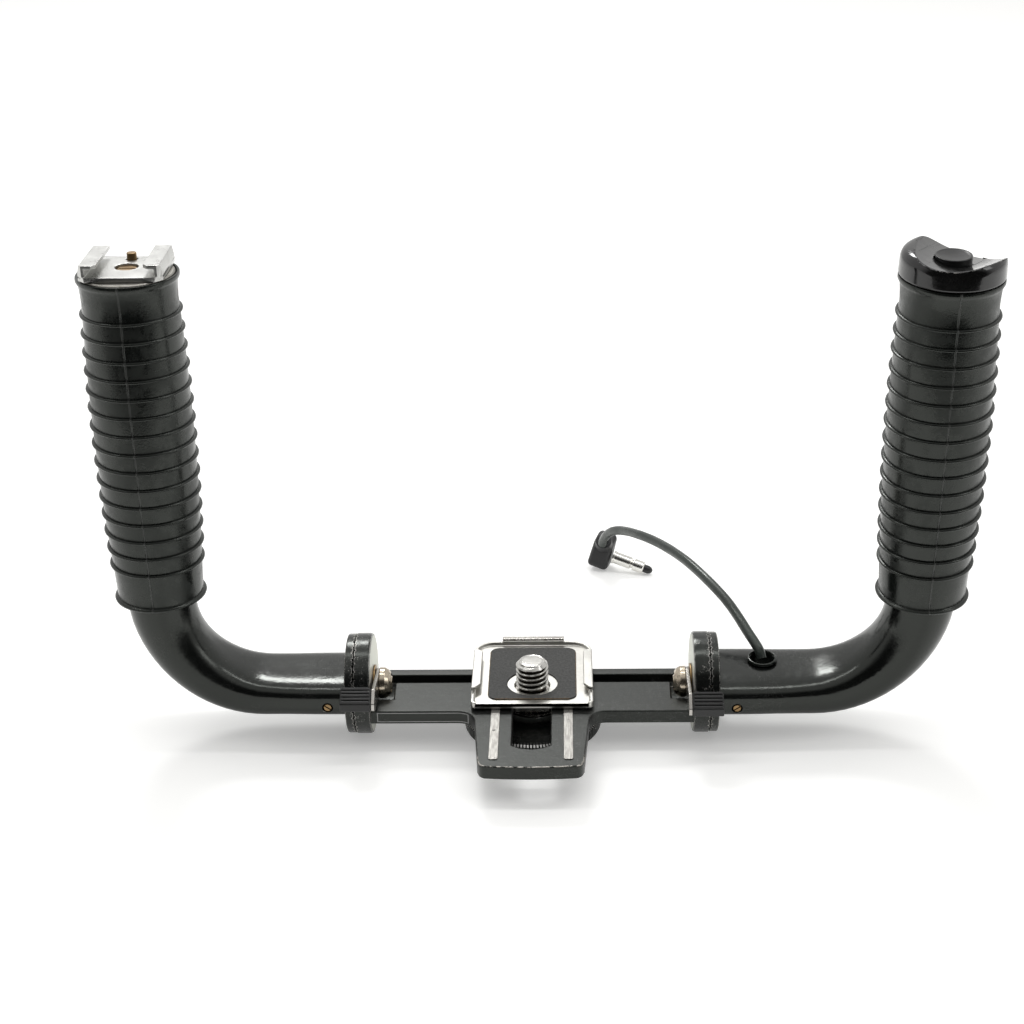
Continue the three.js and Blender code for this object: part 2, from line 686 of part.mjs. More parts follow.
function tubeRing(station, wall, around) {
  const { depth, height, power } = tubeSection(station.progress);
  const points = [];
  for (let i = 0; i < around; i++) {
    const t = 2 * Math.PI * (i + 0.5) / around;
    const across = Math.sign(Math.cos(t)) * Math.abs(Math.cos(t)) ** (2 / power) * (depth - wall);
    const up = Math.sign(Math.sin(t)) * Math.abs(Math.sin(t)) ** (2 / power) * (height - wall);
    const dx = -Math.sin(station.angle) * up;
    const dz = Math.cos(station.angle) * up;
    points.push(new THREE.Vector3(station.x + dx, across, station.z + dz));
  }
  return points;
}

function handleTube(handle) {
  const around = 16;
  const stations = tubeStations(handle);
  const outer = stations.map((station) => tubeRing(station, 0, around));
  const inner = stations.map((station) => tubeRing(station, TUBE_WALL, around));
  const holes = [hubScrewHole(HUB_SCREW_HEAD_R + 0.3)];
  if (handle.side > 0) holes.push(rod(3.6, 0, 10, 20).translate(GROMMET_X, GROMMET_Y, 0));
  return onSide(cut(closedWall(outer, inner), ...holes), handle.side);
}

function hubScrewHole(r) {
  const drill = rod(r, 0, 12, 16).rotateX(Math.PI / 2);
  return drill.translate(HUB_SCREW_X, -4.5, -0.9);
}

function hub(side) {
  const face = SEAM_X + SEAM_GAP / 2;
  const back = face + HUB_DISC_THICK;
  const disc = toothedDisc(back, face, HUB_DISC_R, 0.5);
  const tongue = roundedRectangle(-9.6, 9.6, -3, 3, 1.6);
  const spigot = standing(tongue, back - 0.5, HUB_TONGUE_END - back + 0.5, 3);
  const drilled = cut(spigot, rodAlongX(STUD_BORE_R, face - 1, HUB_TONGUE_END + 1, 20), hubScrewHole(1.3));
  return onSide(joined(disc, drilled), side);
}

// Slotted screw that goes in from the front of the arm
function hubScrew(side) {
  const head = turned([[0, 0], [1, 0], [1, 4.6], [HUB_SCREW_HEAD_R, 4.9], [HUB_SCREW_HEAD_R, 5.8], [0, 5.8]], 16);
  const screw = cut(head, block(-2, 2, -0.22, 0.22, 5.3, 7));
  return onSide(screw.rotateX(Math.PI / 2).translate(HUB_SCREW_X, -7.1, -0.9), side);
}

function gripRadius(z) {
  const u = (z - (GRIP_TOP + GRIP_BOTTOM) / 2) / ((GRIP_TOP - GRIP_BOTTOM) / 2);
  return RING_MID_R + GRIP_LEAN * u - GRIP_BARREL * u * u - RING_HEIGHT;
}

function grip({ side, reach }) {
  const profile = [[GRIP_BORE_R, GRIP_BOTTOM], [FOOT_RIM_R, GRIP_BOTTOM], [FOOT_RIM_R, GRIP_BOTTOM + 1.1]];
  profile.push([gripRadius(GRIP_BOTTOM + 1.8), GRIP_BOTTOM + 1.8]);
  for (let k = RING_COUNT - 1; k >= 0; k--) {
    const z = RING_FIRST_Z - k * RING_PITCH;
    const r = gripRadius(z);
    profile.push([r, z - RING_HALF_WIDTH], [r + RING_HEIGHT, z], [r, z + RING_HALF_WIDTH]);
  }
  profile.push([TOP_FLARE_R, GRIP_TOP - 2], [RIM_R, GRIP_TOP - 1.2], [RIM_R, GRIP_TOP]);
  profile.push([RIM_RECESS_R, GRIP_TOP], [RIM_RECESS_R, GRIP_TOP - 1.2], [GRIP_BORE_R, GRIP_TOP - 1.2]);
  profile.push([GRIP_BORE_R, GRIP_BOTTOM]);
  return turned(profile, 16).translate(side * reach, 0, 0);
}

function leftTopPlate() {
  const r = RIM_RECESS_R - 0.3;
  const inside = TUBE_ROUND_R - TUBE_WALL - 0.3;
  const seat = GRIP_TOP - 1.1;
  const plate = turned([
    [0, TUBE_TOP - 8], [inside, TUBE_TOP - 8], [inside, seat], [r, seat], [r, seat + 1.1],
    [r - 0.3, SHOE_BOTTOM - 0.1], [0, SHOE_BOTTOM - 0.1],
  ], 20);
  const drilled = cut(plate, rod(1.9, TUBE_TOP - 9, SHOE_BOTTOM + 1, 16),
    rod(1.2, TUBE_TOP + 0.5, SHOE_BOTTOM + 1, 12).translate(0, SHOE_PIN_Y, 0));
  return drilled.translate(-LEFT_HANDLE.reach, 0, 0);
}

function shoeRail(side) {
  const base = SHOE_BOTTOM + SHOE_BASE;
  const top = base + SHOE_SLOT_HEIGHT + SHOE_LIP;
  const front = -SHOE_HALF_DEPTH;
  const wall = block(SHOE_SLOT_HALF, SHOE_HALF_WIDTH, front, SHOE_HALF_DEPTH, base - 0.4, top);
  const lip = outline([
    [SHOE_HALF_WIDTH - 0.5, front], [SHOE_HALF_WIDTH - 0.5, SHOE_HALF_DEPTH], [SHOE_GAP_HALF, SHOE_HALF_DEPTH],
    [SHOE_GAP_HALF, front + 1.6], [SHOE_GAP_HALF + 1.1, front],
  ]);
  const slab = raised(lip, top - SHOE_LIP, top);
  return [wall, slab].map((piece) => onSide(piece, side));
}

function accessoryShoe() {
  const w = SHOE_HALF_WIDTH;
  const d = SHOE_HALF_DEPTH;
  const clip = 1.9;
  const plan = outline([
    [-w + clip, -d - 0.6], [w - clip, -d - 0.6], [w, -d + clip - 0.6], [w, d - 1], [w - 1, d], [-w + 1, d], [-w, d - 1],
    [-w, -d + clip - 0.6],
  ]);
  const base = raised(plan, SHOE_BOTTOM, SHOE_BOTTOM + SHOE_BASE);
  const within = raised(plan, SHOE_BOTTOM, SHOE_BOTTOM + 8);
  const shoe = joined(base, common(joined(...shoeRail(-1)), within), common(joined(...shoeRail(1)), within));
  const drilled = cut(shoe, rod(SHOE_HOLE_R, SHOE_BOTTOM - 1, SHOE_BOTTOM + 3, 28),
    rod(SHOE_PIN_R + 0.3, SHOE_BOTTOM - 1, SHOE_BOTTOM + 3, 20).translate(0, SHOE_PIN_Y, 0));
  return drilled.translate(-LEFT_HANDLE.reach, 0, 0);
}

function shoePin() {
  const pin = turned([
    [0, TUBE_TOP + 0.9], [0.9, TUBE_TOP + 0.9], [0.9, SHOE_BOTTOM], [SHOE_PIN_R, SHOE_BOTTOM],
    [SHOE_PIN_R, SHOE_PIN_TOP - 0.3], [SHOE_PIN_R - 0.3, SHOE_PIN_TOP], [0, SHOE_PIN_TOP],
  ], 16);
  return pin.translate(-LEFT_HANDLE.reach, SHOE_PIN_Y, 0);
}

function shoeFixingScrew() {
  const headTop = SHOE_BOTTOM + 0.75;
  const screw = turned([
    [0, TUBE_TOP - 6], [1.6, TUBE_TOP - 6], [1.6, SHOE_BOTTOM], [SHOE_HOLE_R - 0.3, SHOE_BOTTOM],
    [SHOE_HOLE_R - 0.3, headTop], [0, headTop],
  ], 20);
  const slotted = cut(screw, block(-4, 4, -0.35, 0.35, headTop - 0.5, headTop + 1));
  return slotted.translate(-LEFT_HANDLE.reach, 0, 0);
}

// Lowers what is above a level toward the rear, in proportion to its height
function slant(geometry, level, height, slope) {
  const at = geometry.attributes.position;
  for (let i = 0; i < at.count; i++) {
    const share = Math.max(at.getZ(i) - level, 0) / height;
    at.setZ(i, at.getZ(i) - share * slope * at.getY(i));
  }
}

// Gloss cap: a short drum with a channel for the thumb and a well for the button
function releaseCap() {
  const top = CAP_BOTTOM + CAP_HEIGHT;
  const profile = [[0, SPIGOT_BOTTOM], [SPIGOT_R, SPIGOT_BOTTOM], [SPIGOT_R, CAP_BOTTOM]];
  profile.push([CAP_R - 0.4, CAP_BOTTOM], [CAP_R, CAP_BOTTOM + 0.4], [CAP_R - 0.25, top - CAP_ROUND]);
  for (const step of [30, 60, 90]) {
    const angle = degrees(step);
    profile.push([CAP_R - 0.25 - CAP_ROUND * (1 - Math.cos(angle)), top - CAP_ROUND * (1 - Math.sin(angle))]);
  }
  profile.push([0, top]);
  const drum = turned(profile, 32);
  slant(drum, CAP_BOTTOM + 0.4, CAP_HEIGHT, Math.tan(degrees(CAP_SLANT)));
  const channel = rod(SCOOP_R, -40, 40, 64).rotateX(Math.PI / 2).translate(SCOOP_OFFSET, 0, 0);
  channel.rotateX(degrees(-SCOOP_FALL)).rotateZ(degrees(-SCOOP_TURN));
  channel.translate(0, 0, CAP_BOTTOM + SCOOP_FLOOR + SCOOP_R);
  const cap = cut(drum, channel, rod(BUTTON_WELL_R, BUTTON_WELL_FLOOR, top + 3, 24),
    rod(STEM_R + 0.4, SPIGOT_BOTTOM - 1, top, 12));
  return cap.translate(RIGHT_HANDLE.reach, 0, 0);
}

function releaseButton() {
  const button = turned([
    [0, STEM_BOTTOM], [STEM_R, STEM_BOTTOM], [STEM_R, BUTTON_SKIRT], [BUTTON_R, BUTTON_SKIRT],
    [BUTTON_R, BUTTON_TOP - 0.3], [BUTTON_R - 0.35, BUTTON_TOP], [BUTTON_R - 0.9, BUTTON_TOP - 0.1],
    [BUTTON_R * 0.5, BUTTON_TOP - 0.4], [0, BUTTON_TOP - BUTTON_DISH],
  ], 20);
  return button.translate(RIGHT_HANDLE.reach, 0, 0);
}

class Helix extends THREE.Curve {
  getPoint(t, target = new THREE.Vector3()) {
    const angle = 2 * Math.PI * SPRING_TURNS * t;
    const rise = SPRING_TOP - SPRING_BOTTOM - 2 * SPRING_WIRE_R;
    return target.set(SPRING_R * Math.cos(angle), SPRING_R * Math.sin(angle),
      SPRING_BOTTOM + SPRING_WIRE_R + rise * t);
  }
}

// A round tube along a curve
function tubeAlong(curve, r, steps, sides) {
  const section = [];
  for (let i = 0; i < sides; i++) {
    const angle = 2 * Math.PI * i / sides;
    section.push([r * Math.cos(angle), r * Math.sin(angle)]);
  }
  return new THREE.ExtrudeGeometry(outline(section), { steps, bevelEnabled: false, extrudePath: curve });
}

function buttonSpring() {
  return tubeAlong(new Helix(), SPRING_WIRE_R, 28, 5).translate(RIGHT_HANDLE.reach, 0, 0);
}

function switchBase() {
  const base = rod(SPIGOT_R - 0.2, SWITCH_BASE_BOTTOM, SWITCH_BASE_TOP, 28);
  const post = rod(1.4, SWITCH_BASE_TOP - 0.5, SWITCH_BASE_TOP + 0.7, 12);
  return joined(base, post).translate(RIGHT_HANDLE.reach, 0, 0);
}

function switchLeaf() {
  const profile = outline([
    [-5.5, SWITCH_BASE_TOP], [-5.1, SWITCH_BASE_TOP], [-5.1, SWITCH_BASE_TOP + 1.1], [3, SWITCH_BASE_TOP + 1.1],
    [3, SWITCH_BASE_TOP + 1.5], [-5.5, SWITCH_BASE_TOP + 1.5],
  ]);
  return standing(profile, -1.5, 3).translate(RIGHT_HANDLE.reach, 0, 0);
}

function innerLead() {
  const { reach, bend } = RIGHT_HANDLE;
  const points = [
    [reach, 0, SWITCH_BASE_BOTTOM - 0.3], [reach, 0, 90], [reach, 0, 60], [reach, 0, bend + 8],
    [reach - bend * 0.1, 0, bend * 0.62], [reach - bend * 0.42, 0, bend * 0.22], [reach - bend, 0, 0],
    [78, 0.8, -1], [72.5, 2, -1.2], [69.2, 2.6, -0.6], [GROMMET_X + 0.2, GROMMET_Y, 0.7],
    [GROMMET_X, GROMMET_Y, 1.75],
  ];
  const curve = new THREE.CatmullRomCurve3(points.map((point) => new THREE.Vector3(...point)), false, 'centripetal');
  return tubeAlong(curve, LEAD_R, 26, 5);
}

// Rubber grommet in the tube's top wall, with a funnel that lets the cord leave at a slant
function cordGrommet() {
  const face = GROMMET_FACE;
  const profile = [
    [1.7, 2.1], [4.2, 2.1], [4.2, 3.1], [3.3, 3.1], [3.3, face], [4.1, face], [4.45, face + 0.4],
    [4.15, face + 0.95], [3.75, face + 1.05], [3.4, face + 0.6], [2.95, 5.1], [2.95, 4.4], [1.7, 3.4],
    [1.7, 2.1],
  ];
  return turned(profile, 16).translate(GROMMET_X, GROMMET_Y, 0);
}

function releaseCord() {
  const curve = new THREE.CatmullRomCurve3(CORD_ROUTE.map((point) => new THREE.Vector3(...point)), false,
    'centripetal');
  return tubeAlong(curve, CORD_R, 24, 8);
}

// Places a piece from the plug's own frame, X along its barrel, into the part's frame
function atPlug(geometry) {
  const along = new THREE.Vector3(...PLUG_ALONG).normalize();
  const up = new THREE.Vector3(0, 0, 1).addScaledVector(along, -along.z).normalize();
  const across = new THREE.Vector3().crossVectors(up, along);
  const frame = new THREE.Matrix4().makeBasis(along, across, up).setPosition(...PLUG_CENTRE);
  return geometry.applyMatrix4(frame);
}

function plugBody() {
  const d = PLUG_HALF_DEPTH;
  const section = outline([
    [-d, -PLUG_BELOW + 1.4], [-d + 1.4, -PLUG_BELOW], [d - 1.4, -PLUG_BELOW], [d, -PLUG_BELOW + 1.4],
    [d, PLUG_ABOVE - 2.6], [d - 2, PLUG_ABOVE], [-0.4, PLUG_ABOVE], [-d, PLUG_ABOVE - 3.6],
  ]);
  const core = standing(section, -PLUG_HALF_WIDTH, 2 * PLUG_HALF_WIDTH);
  const corner = (x, turn) => block(-2, 2, -9, 9, -9, 9).rotateY(degrees(turn)).translate(x, 0, 0);
  const lower = corner(-PLUG_HALF_WIDTH - 0.9, 18).translate(0, 0, -4);
  const upper = corner(-PLUG_HALF_WIDTH - 1.1, -16).translate(0, 0, 6);
  const shaped = cut(core, lower, upper);
  const tilt = new THREE.Vector3(0, -3.6, 4.1).normalize();
  const collar = rod(2.7, -2, 1, 20);
  const entry = rod(CORD_R + 0.3, -1.2, 3, 20);
  const aim = new THREE.Matrix4().lookAt(tilt, new THREE.Vector3(), new THREE.Vector3(1, 0, 0));
  aim.setPosition(0.2, -2.7, 5.8);
  return atPlug(cut(joined(shaped, collar.applyMatrix4(aim)), entry.applyMatrix4(aim)));
}

function plugBarrel() {
  const root = PLUG_HALF_WIDTH + 0.1;
  const barrel = turnedAlongX([
    [0, root], [BARREL_R + 0.15, root], [BARREL_R + 0.15, root + 0.5], [BARREL_R, root + 0.6],
    [BARREL_R, root + 6.6], [BARREL_R - 0.5, root + 6.9], [BARREL_R - 0.5, root + 7.3], [BARREL_R, root + 7.5],
    [BARREL_R, root + 11], [BARREL_R - 0.3, root + 11.3], [0, root + 11.3],
  ], 14);
  return atPlug(barrel);
}

function plugTip() {
  const root = PLUG_HALF_WIDTH + 11.5;
  const tip = turnedAlongX([
    [0, root], [1.4, root], [1.4, root + 1.5], [1.1, root + 2.4], [0.5, root + 2.9], [0, root + 3],
  ], 14);
  return atPlug(tip);
}

// Assembly
const part = new THREE.Group();
part.add(
  mesh('bar_casting', barCasting(), blackPaint),
  mesh('tongue_rail_left', tongueRail(-1), steel),
  mesh('tongue_rail_right', tongueRail(1), steel),
  mesh('camera_plate', cameraPlate(), chrome),
  mesh('plate_pad', platePad(), padGrey),
  mesh('slide_block', slideBlock(), steel),
  mesh('camera_screw', cameraScrew(), steel),
  mesh('screw_circlip', ring(SCREW_SHANK_R + 0.25, 5.1, 8.25, 8.6, 20), steel),
  mesh('wheel_spring_washer', ring(SCREW_SHANK_R + 0.3, 7.8, 7.5, 7.95, 24), steel),
  mesh('hand_wheel', handWheel(), blackPaint),
);

function lock(name, side, lift) {
  const group = new THREE.Group();
  group.position.z = AXIS_Z;
  group.rotation.x = -degrees(lift);
  group.add(
    mesh(`${name}_lock_lever`, lockLever(side), steel),
    mesh(`${name}_lock_pad`, lockPad(side), blackPlastic),
    mesh(`${name}_dome_nut`, domeNut(side), brass),
  );
  return group;
}

// A handle's group turns about the pivot axis
function handleGroup(name, handle) {
  const group = new THREE.Group();
  group.position.z = AXIS_Z;
  group.rotation.x = degrees(handle.tilt);
  group.add(
    mesh(`${name}_hub`, hub(handle.side), blackPaint),
    mesh(`${name}_pivot_stud`, pivotStud(handle.side), steel),
    mesh(`${name}_hub_screw`, hubScrew(handle.side), brass),
    mesh(`${name}_handle_tube`, handleTube(handle), blackPaint),
    mesh(`${name}_grip`, grip(handle), blackRubber),
  );
  return group;
}

const leftHandle = handleGroup('left', LEFT_HANDLE);
leftHandle.add(
  mesh('left_top_plate', leftTopPlate(), aluminium),
  mesh('accessory_shoe', accessoryShoe(), aluminium),
  mesh('shoe_pin', shoePin(), brass),
  mesh('shoe_fixing_screw', shoeFixingScrew(), brass),
);

const rightHandle = handleGroup('right', RIGHT_HANDLE);
rightHandle.add(
  mesh('release_cap', releaseCap(), blackPlastic),
  mesh('release_button', releaseButton(), blackPlastic),
  mesh('button_spring', buttonSpring(), steel),
  mesh('switch_base', switchBase(), blackPlastic),
  mesh('switch_leaf', switchLeaf(), brass),
  mesh('inner_lead', innerLead(), blackRubber),
  mesh('cord_grommet', cordGrommet(), blackRubber),
);

part.add(
  mesh('left_thrust_washer', thrustWasher(-1), brass),
  mesh('right_thrust_washer', thrustWasher(1), brass),
  lock('left', -1, LEFT_LEVER_LIFT),
  lock('right', 1, 0),
  leftHandle,
  rightHandle,
  mesh('release_cord', releaseCord(), blackRubber),
  mesh('plug_body', plugBody(), blackPlastic),
  mesh('plug_barrel', plugBarrel(), chrome),
  mesh('plug_tip', plugTip(), blackPlastic),
);

export default part;
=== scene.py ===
"""Looks of a twin-handle camera grip: enamelled casting, ribbed rubber, plated plate and worn fittings."""

import math

import bmesh
import bpy
from mathutils import Matrix, Vector


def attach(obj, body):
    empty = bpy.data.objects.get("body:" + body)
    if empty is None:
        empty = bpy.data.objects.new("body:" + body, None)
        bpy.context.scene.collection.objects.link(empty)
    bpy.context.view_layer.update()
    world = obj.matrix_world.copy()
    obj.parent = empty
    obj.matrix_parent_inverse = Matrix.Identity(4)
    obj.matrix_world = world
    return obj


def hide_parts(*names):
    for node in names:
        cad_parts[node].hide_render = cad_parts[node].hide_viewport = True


bl_info = {
    "name": "Camera Hand Grip",
    "version": (1, 0, 0),
    "blender": (4, 5, 0),
    "location": "View3D > Sidebar > Hand Grip",
    "description": "Models and paints a twin-handle camera bracket around its packed frame",
    "category": "Add Mesh",
}

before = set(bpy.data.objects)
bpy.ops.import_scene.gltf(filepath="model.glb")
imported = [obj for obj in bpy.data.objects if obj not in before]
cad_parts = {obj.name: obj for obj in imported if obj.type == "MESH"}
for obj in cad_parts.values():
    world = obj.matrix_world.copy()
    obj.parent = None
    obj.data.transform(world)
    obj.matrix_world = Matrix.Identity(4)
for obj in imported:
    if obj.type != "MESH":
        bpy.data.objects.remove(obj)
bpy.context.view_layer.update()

# Pieces are modelled in millimetres and scaled to metres when they are finished
MM = 0.001

# Driving sizes in millimetres, as in the part's source
AXIS_Z = 14.8
TOOTH_COUNT = 40
BORE_R = 2.8
TUBE_START_X = 54.4
TUBE_TOP = 125
TUBE_WALL = 1.5
TUBE_ROUND_R = 9.7
TUBE_FLAT_DEPTH = 13
TUBE_FLAT_HEIGHT = 5.4
HUB_SCREW_X = 59.2
HUB_SCREW_Z = -0.9
SHOE_BOTTOM = 127.2
SHOE_PIN_Y = 7.2
CAP_BOTTOM = 127
CAP_SHOULDER = 127.4
CAP_TOP = 134.2
CAP_SLANT = 4.5
SCOOP_R = 20
SCOOP_BOTTOM = 130.4
GRIP_BOTTOM = 30.2
GRIP_TOP = 126.8
GRIP_BORE_R = 10.1
RIB_COUNT = 15
RIB_PITCH = 5.33
TOP_RIB_Z = 116.3
GROMMET = (67.5, 2.7)
BAR_BOTTOM = 8.1
BAR_TOP = 12.3
BAR_END_X = 47.2
BAR_HALF_DEPTH = 12.5
LEVER_BACK_X = 45
PLATE_FLOOR = 12.85
PLATE_SHEET = 1
THREAD_PITCH = 1.5875
THREAD_R = 4.7625
SCREW_TOP = 22.1

# Places of painted and worn marks in metres: the framed place on the bar's front, the tongue's worn front
# edge, the inner face of a disc made bright bare metal as a painted reflection, the bright chamfer of the
# hand wheel, and the camera screw's grooves
FRAMED_X = -0.0317
FRAMED_Z = 0.0103
FRAMED_HALF_WIDTH = 0.0132
FRAMED_HALF_HEIGHT = 0.0014
BAR_FRONT_Y = -0.0122
TONGUE_EDGE_Y = -0.0362
TONGUE_EDGE_Z = (0.01205, 0.012285)
REFLECTION_FACE_X = 0.04679
BRIGHT_CHAMFER_Z = (0.004, 0.0052)
GROOVE_R = 0.00435
GROOVE_TOP_Z = 0.0209

# The camera: turned in degrees, and placed in millimetres from the middle of the pivot axis
CAMERA_YAW = 1.78
CAMERA_PITCH = 24.67
CAMERA_ROLL = -1.16
CAMERA_BACK = 560.4
CAMERA_LEFT = 4.99
CAMERA_UP = 50.24

# The floor in metres: it ends in front of the grip, and a dim room lies beyond
FLOOR_SIZE = 12
FLOOR_FRONT = -0.26

CORD_ROUTE = [
    (67.45, 2.3, 20.9), (66.5, 4.4, 23.3), (63.9, 9.9, 25.7), (61.0, 16.2, 28.4), (58.3, 22.0, 30.2),
    (55.2, 28.6, 31.3), (51.6, 36.3, 32.0), (47.6, 45.0, 32.2), (43.2, 54.4, 31.5), (38.8, 63.8, 30.0),
    (34.4, 73.3, 27.7), (30.4, 82.0, 25.0), (26.9, 89.6, 21.7), (24.5, 95.2, 17.9), (23.1, 98.9, 14.0),
    (22.7, 100.5, 11.6),
]
PLUG_CENTRE = (22.6, 105.7, 5.75)
PLUG_ALONG = (10, -3.4, -2.6)


# Settings
class HandGripSizes(bpy.types.PropertyGroup):
    """Sizes of the handles, the grips and the cord."""

    left_reach: bpy.props.FloatProperty(
        name="Left Reach", description="Distance of the left grip's axis from the middle", default=0.1071,
        unit="LENGTH")
    right_reach: bpy.props.FloatProperty(
        name="Right Reach", description="Distance of the right grip's axis from the middle", default=0.1116,
        unit="LENGTH")
    left_bend: bpy.props.FloatProperty(
        name="Left Bend", description="Bend radius of the left tube", default=0.0295, unit="LENGTH")
    right_bend: bpy.props.FloatProperty(
        name="Right Bend", description="Bend radius of the right tube", default=0.030, unit="LENGTH")
    right_tilt: bpy.props.FloatProperty(
        name="Right Tilt", description="How far the right handle is turned on its teeth",
        default=math.radians(3.87), subtype="ANGLE")
    lever_lift: bpy.props.FloatProperty(
        name="Left Lever Lift", description="How far the left lock lever is lifted",
        default=math.radians(6), subtype="ANGLE")
    rib_height: bpy.props.FloatProperty(
        name="Rib Height", description="Height of the grips' rings", default=0.0008, unit="LENGTH")
    cord_diameter: bpy.props.FloatProperty(
        name="Cord Diameter", description="Diameter of the release cord", default=0.003, unit="LENGTH")
    wheel_teeth: bpy.props.IntProperty(
        name="Wheel Teeth", description="Knurls round the hand wheel", default=132)


class HandGripColours(bpy.types.PropertyGroup):
    """Colours of the finishes."""

    enamel: bpy.props.FloatVectorProperty(
        name="Enamel", description="Black enamel on the metal", subtype="COLOR", size=4,
        default=(0.0035, 0.0040, 0.0038, 1))
    rubber: bpy.props.FloatVectorProperty(
        name="Rubber", description="Moulded grips", subtype="COLOR", size=4,
        default=(0.0050, 0.0062, 0.0056, 1))
    moulding: bpy.props.FloatVectorProperty(
        name="Moulding", description="Hard black plastic", subtype="COLOR", size=4,
        default=(0.003, 0.003, 0.003, 1))
    plating: bpy.props.FloatVectorProperty(
        name="Plating", description="Bright chrome", subtype="COLOR", size=4, default=(0.84, 0.83, 0.79, 1))
    alloy: bpy.props.FloatVectorProperty(
        name="Alloy", description="Satin aluminium", subtype="COLOR", size=4, default=(0.64, 0.64, 0.62, 1))
    steel: bpy.props.FloatVectorProperty(
        name="Steel", description="Bare steel", subtype="COLOR", size=4, default=(0.50, 0.48, 0.45, 1))
    brass: bpy.props.FloatVectorProperty(
        name="Brass", description="Aged brass", subtype="COLOR", size=4, default=(0.30, 0.20, 0.10, 1))
    pad: bpy.props.FloatVectorProperty(
        name="Pad", description="Friction pad", subtype="COLOR", size=4, default=(0.060, 0.060, 0.058, 1))


class HandGripStage(bpy.types.PropertyGroup):
    """The camera and the lamps."""

    lens: bpy.props.FloatProperty(name="Lens", description="Focal length in millimetres", default=66.8)
    overhead_power: bpy.props.FloatProperty(
        name="Overhead", description="Power of the strip overhead in watts", default=2.2)
    key_power: bpy.props.FloatProperty(name="Key", description="Power of the rear lamp in watts", default=9.0)
    fill_power: bpy.props.FloatProperty(
        name="Fill", description="Power of the right lamp in watts", default=1.0)
    ambient: bpy.props.FloatProperty(
        name="Ambient", description="Strength of the world's light", default=0.78)


def sizes():
    return bpy.context.scene.hand_grip_sizes


def colours():
    return bpy.context.scene.hand_grip_colours


# Modelling helpers
def clear_selection():
    if bpy.context.object and bpy.context.object.mode != "OBJECT":
        bpy.ops.object.mode_set(mode="OBJECT")
    bpy.ops.object.select_all(action="DESELECT")


def only(piece):
    clear_selection()
    piece.select_set(True)
    bpy.context.view_layer.objects.active = piece


def pick(piece, test, kind="FACE"):
    """Selects the faces or vertices of a piece in edit mode that a test of place and normal accepts."""
    bpy.ops.mesh.select_mode(type=kind)
    bpy.ops.mesh.select_all(action="DESELECT")
    shape = bmesh.from_edit_mesh(piece.data)
    if kind == "FACE":
        for face in shape.faces:
            face.select_set(bool(test(face.calc_center_median(), face.normal)))
    else:
        for vertex in shape.verts:
            vertex.select_set(bool(test(vertex.co, vertex.normal)))
    bmesh.update_edit_mesh(piece.data)


def outward(piece, merge=1e-4):
    only(piece)
    bpy.ops.object.mode_set(mode="EDIT")
    bpy.ops.mesh.select_all(action="SELECT")
    bpy.ops.mesh.remove_doubles(threshold=merge)
    bpy.ops.mesh.normals_make_consistent(inside=False)
    bpy.ops.object.mode_set(mode="OBJECT")
    return piece


def rounded(corners, steps=3):
    """A profile in which each corner given with a third number is rounded to that radius."""
    made = []
    for i, corner in enumerate(corners):
        radius = corner[2] if len(corner) > 2 else 0
        here = Vector(corner[:2])
        if not radius or i in (0, len(corners) - 1):
            made.append(tuple(here))
            continue
        back = Vector(corners[i - 1][:2]) - here
        ahead = Vector(corners[i + 1][:2]) - here
        half = back.angle(ahead) / 2
        cut = min(radius / math.tan(half), 0.49 * back.length, 0.49 * ahead.length)
        start, end = here + back.normalized() * cut, here + ahead.normalized() * cut
        for k in range(steps + 1):
            t = k / steps
            made.append(tuple(start * (1 - t) ** 2 + here * 2 * t * (1 - t) + end * t ** 2))
    return made


def arc(centre, radius, start, end, steps=8):
    """Points on an arc between two angles in degrees."""
    angles = [math.radians(start + (end - start) * i / steps) for i in range(steps + 1)]
    return [(centre[0] + radius * math.cos(a), centre[1] + radius * math.sin(a)) for a in angles]


def turned(name, profile, segments=64, bored=False):
    """A ring of edges, or a disc, extruded along Z from one radius and height of the profile to the next."""
    clear_selection()
    radius, height = profile[0]
    bpy.ops.mesh.primitive_circle_add(
        vertices=segments, radius=radius, location=(0, 0, height), fill_type="NOTHING" if bored else "NGON",
        enter_editmode=True)
    piece = bpy.context.object
    piece.name = name
    bpy.ops.mesh.select_mode(type="VERT")
    bpy.ops.mesh.select_all(action="SELECT")
    for wider, higher in profile[1:]:
        bpy.ops.mesh.extrude_region_move(TRANSFORM_OT_translate={"value": (0, 0, higher - height)})
        if abs(wider - radius) > 1e-9:
            ratio = max(wider, 1e-4) / radius
            bpy.ops.transform.resize(value=(ratio, ratio, 1), center_override=(0, 0, higher))
        radius, height = max(wider, 1e-4), higher
    bpy.ops.object.mode_set(mode="OBJECT")
    return outward(piece, 3e-4)


def lofted(name, rings, closed=False):
    """A skin through rings of points: its two ends are filled, or it closes on itself."""
    count = len(rings[0])
    points = [tuple(point) for ring in rings for point in ring]
    faces = []
    spans = len(rings) if closed else len(rings) - 1
    for r in range(spans):
        after = (r + 1) % len(rings)
        for i in range(count):
            j = (i + 1) % count
            faces.append((r * count + i, r * count + j, after * count + j, after * count + i))
    if not closed:
        faces.append(tuple(range(count - 1, -1, -1)))
        faces.append(tuple((len(rings) - 1) * count + i for i in range(count)))
    mesh = bpy.data.meshes.new(name)
    mesh.from_pydata(points, [], faces)
    piece = bpy.data.objects.new(name, mesh)
    bpy.context.scene.collection.objects.link(piece)
    return outward(piece)


def slab(name, low, high):
    clear_selection()
    bpy.ops.mesh.primitive_cube_add(size=1, location=[(a + b) / 2 for a, b in zip(low, high)])
    piece = bpy.context.object
    piece.name = name
    piece.scale = [b - a for a, b in zip(low, high)]
    bpy.ops.object.transform_apply(location=True, rotation=True, scale=True)
    return piece


